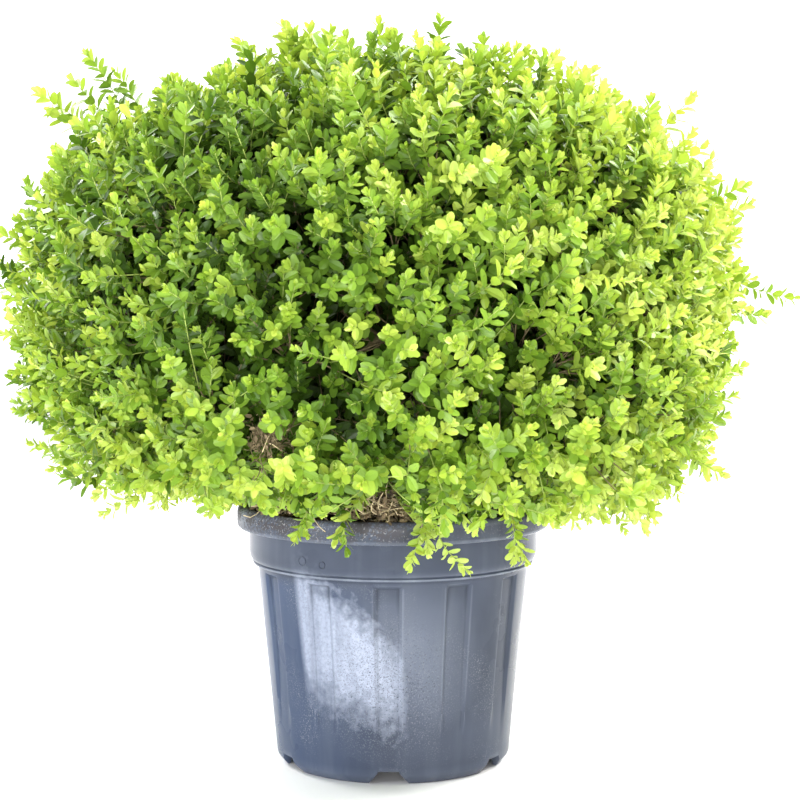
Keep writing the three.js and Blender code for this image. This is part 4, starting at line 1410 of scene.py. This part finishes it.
def litter_hollows(finishes):
    """Crumbled dead leaves, bare twigs and a few straws caught in the crown's hollows."""
    rng = np.random.default_rng(SEED + 3)
    seats, ways = in_hollows(rng)
    along = ways * 0.3 + rng.normal(0, 1, seats.shape)
    facing = ways + stray_ways(rng, CAUGHT_BITS, 1.6)
    lengths = rng.uniform(*CAUGHT_LEAF_LENGTHS, CAUGHT_BITS)
    strew_leaves("caught_leaves", seats, along, facing, lengths, finishes["leaf_dry"], rng)
    foot, ways = in_hollows(rng)
    bent = unit(rng.normal(0, 1, foot.shape) + [0, 0, 0.4])
    tips = foot + bent * rng.uniform(*CAUGHT_TWIG_LENGTHS, (CAUGHT_BITS, 1)) + ways * 4
    bits = bent_bits(foot, bent, tips, 1, rng)
    twigs, straws = bits[CAUGHT_STRAWS:], bits[:CAUGHT_STRAWS]
    foliage_piece("caught_twigs", [tapered(twigs, *CAUGHT_THICKNESS, 5, 4)], finishes["twig_bark"])
    foliage_piece("caught_straws", [tapered(straws, *CAUGHT_THICKNESS, 5, 4)], finishes["dry_stem"])


def round_the_rim(count, rng):
    """Angles round the rim, closest together at the front left and at the front, where the rim shows."""
    turns = [rng.normal(*where, count) for where in (FRONT_LEFT_RIM, FRONT_RIM)]
    turns.append(rng.uniform(0, 2 * math.pi, count))
    return np.choose(rng.choice(3, count, p=RIM_SHARES), turns)


def make_litter(finishes):
    """Dead leaves and dry straw stems caught between the lowest sprays and the pot's rim."""
    rng = np.random.default_rng(SEED + 2)
    turn = round_the_rim(DEAD_LEAVES, rng)
    radius = rng.uniform(*DEAD_LEAF_RADII, DEAD_LEAVES)
    height = np.where(radius < BED_EDGE_RADIUS, BED_Z, POT_HEIGHT + 1.5) + rng.exponential(10, DEAD_LEAVES)
    along = rng.normal(0, 1, (DEAD_LEAVES, 3)) * np.array([1, 1, 0.45])
    facing = stray_ways(rng, DEAD_LEAVES, 1.6) + np.array([0, 0, 1])
    lengths = rng.uniform(*DEAD_LEAF_LENGTHS, DEAD_LEAVES)
    seats = round_axis(turn, radius, height)
    strew_leaves("dead_leaves", seats, along, facing, lengths, finishes["leaf_dry"], rng)
    turn = round_the_rim(DRY_STRAWS, rng)
    radius = rng.uniform(*STRAW_RADII, DRY_STRAWS)
    foot = round_axis(turn, radius, rng.uniform(*STRAW_FOOT_HEIGHTS, DRY_STRAWS))
    out = round_axis(turn, 1, np.full(DRY_STRAWS, 0.55))
    way = unit(out * 0.5 + rng.normal(0, 0.7, foot.shape))
    tip = foot + way * rng.uniform(*STRAW_LENGTHS, (DRY_STRAWS, 1))
    straws = bent_bits(foot, way, tip, 1.6, rng)
    clear = ~touches_rim(curve_points(straws, even_shares(DRY_STRAWS, 7))).any(axis=1)
    foliage_piece("dry_stems", [tapered(straws[clear], *STRAW_THICKNESS, 6, 4)], finishes["dry_stem"])


# Stage


def add_light(name, panel):
    """A soft panel of light, turned to what it lights."""
    light = bpy.data.lights.new(name, "AREA")
    light.shape = "RECTANGLE"
    light.size, light.size_y = panel.wide * MM, panel.tall * MM
    light.energy = panel.power
    light.color = panel.colour
    lamp = bpy.data.objects.new(name, light)
    lamp.location = Vector(panel.place) * MM
    lamp.rotation_euler = (Vector(panel.aim) - Vector(panel.place)).to_track_quat("-Z", "Y").to_euler()
    bpy.context.scene.collection.objects.link(lamp)


def set_stage():
    """A pale floor, a pale backdrop and sky, and soft studio light from above, the sides and the front."""
    deselect()
    bpy.ops.mesh.primitive_plane_add(size=FLOOR_SIDE * MM, location=(0, 0, -0.5 * MM))
    finished("floor", Finish("pale_floor", (0.95, 0.95, 0.955), 0.9, 0.1).material)
    deselect()
    place, upright = Vector(BACKDROP_PLACE) * MM, (math.radians(90), 0, 0)
    bpy.ops.mesh.primitive_plane_add(size=BACKDROP_SIDE * MM, location=place, rotation=upright)
    white = Finish("white_backdrop", (0.9, 0.9, 0.9), 1, 0)
    white.fill(white.shader, {"Emission Color": (0.985, 0.99, 1), "Emission Strength": BACKDROP_GLOW})
    finished("backdrop", white.material)
    world = bpy.data.worlds.new("pale_sky")
    world.use_nodes = True
    sky = world.node_tree.nodes["Background"].inputs
    sky["Color"].default_value = SKY_COLOUR
    sky["Strength"].default_value = SKY_STRENGTH
    bpy.context.scene.world = world
    for name, panel in PANELS.items():
        add_light(name, panel)
    bpy.context.scene.view_settings.view_transform = "Standard"


def main():
    """The whole plant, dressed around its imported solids."""
    add_camera()
    finishes = all_finishes()
    make_pot(finishes["pot"])
    make_compost(finishes["compost"])
    make_limbs(finishes["bark"])
    dress_crown(finishes)
    make_litter(finishes)
    litter_hollows(finishes)
    set_stage()


main()
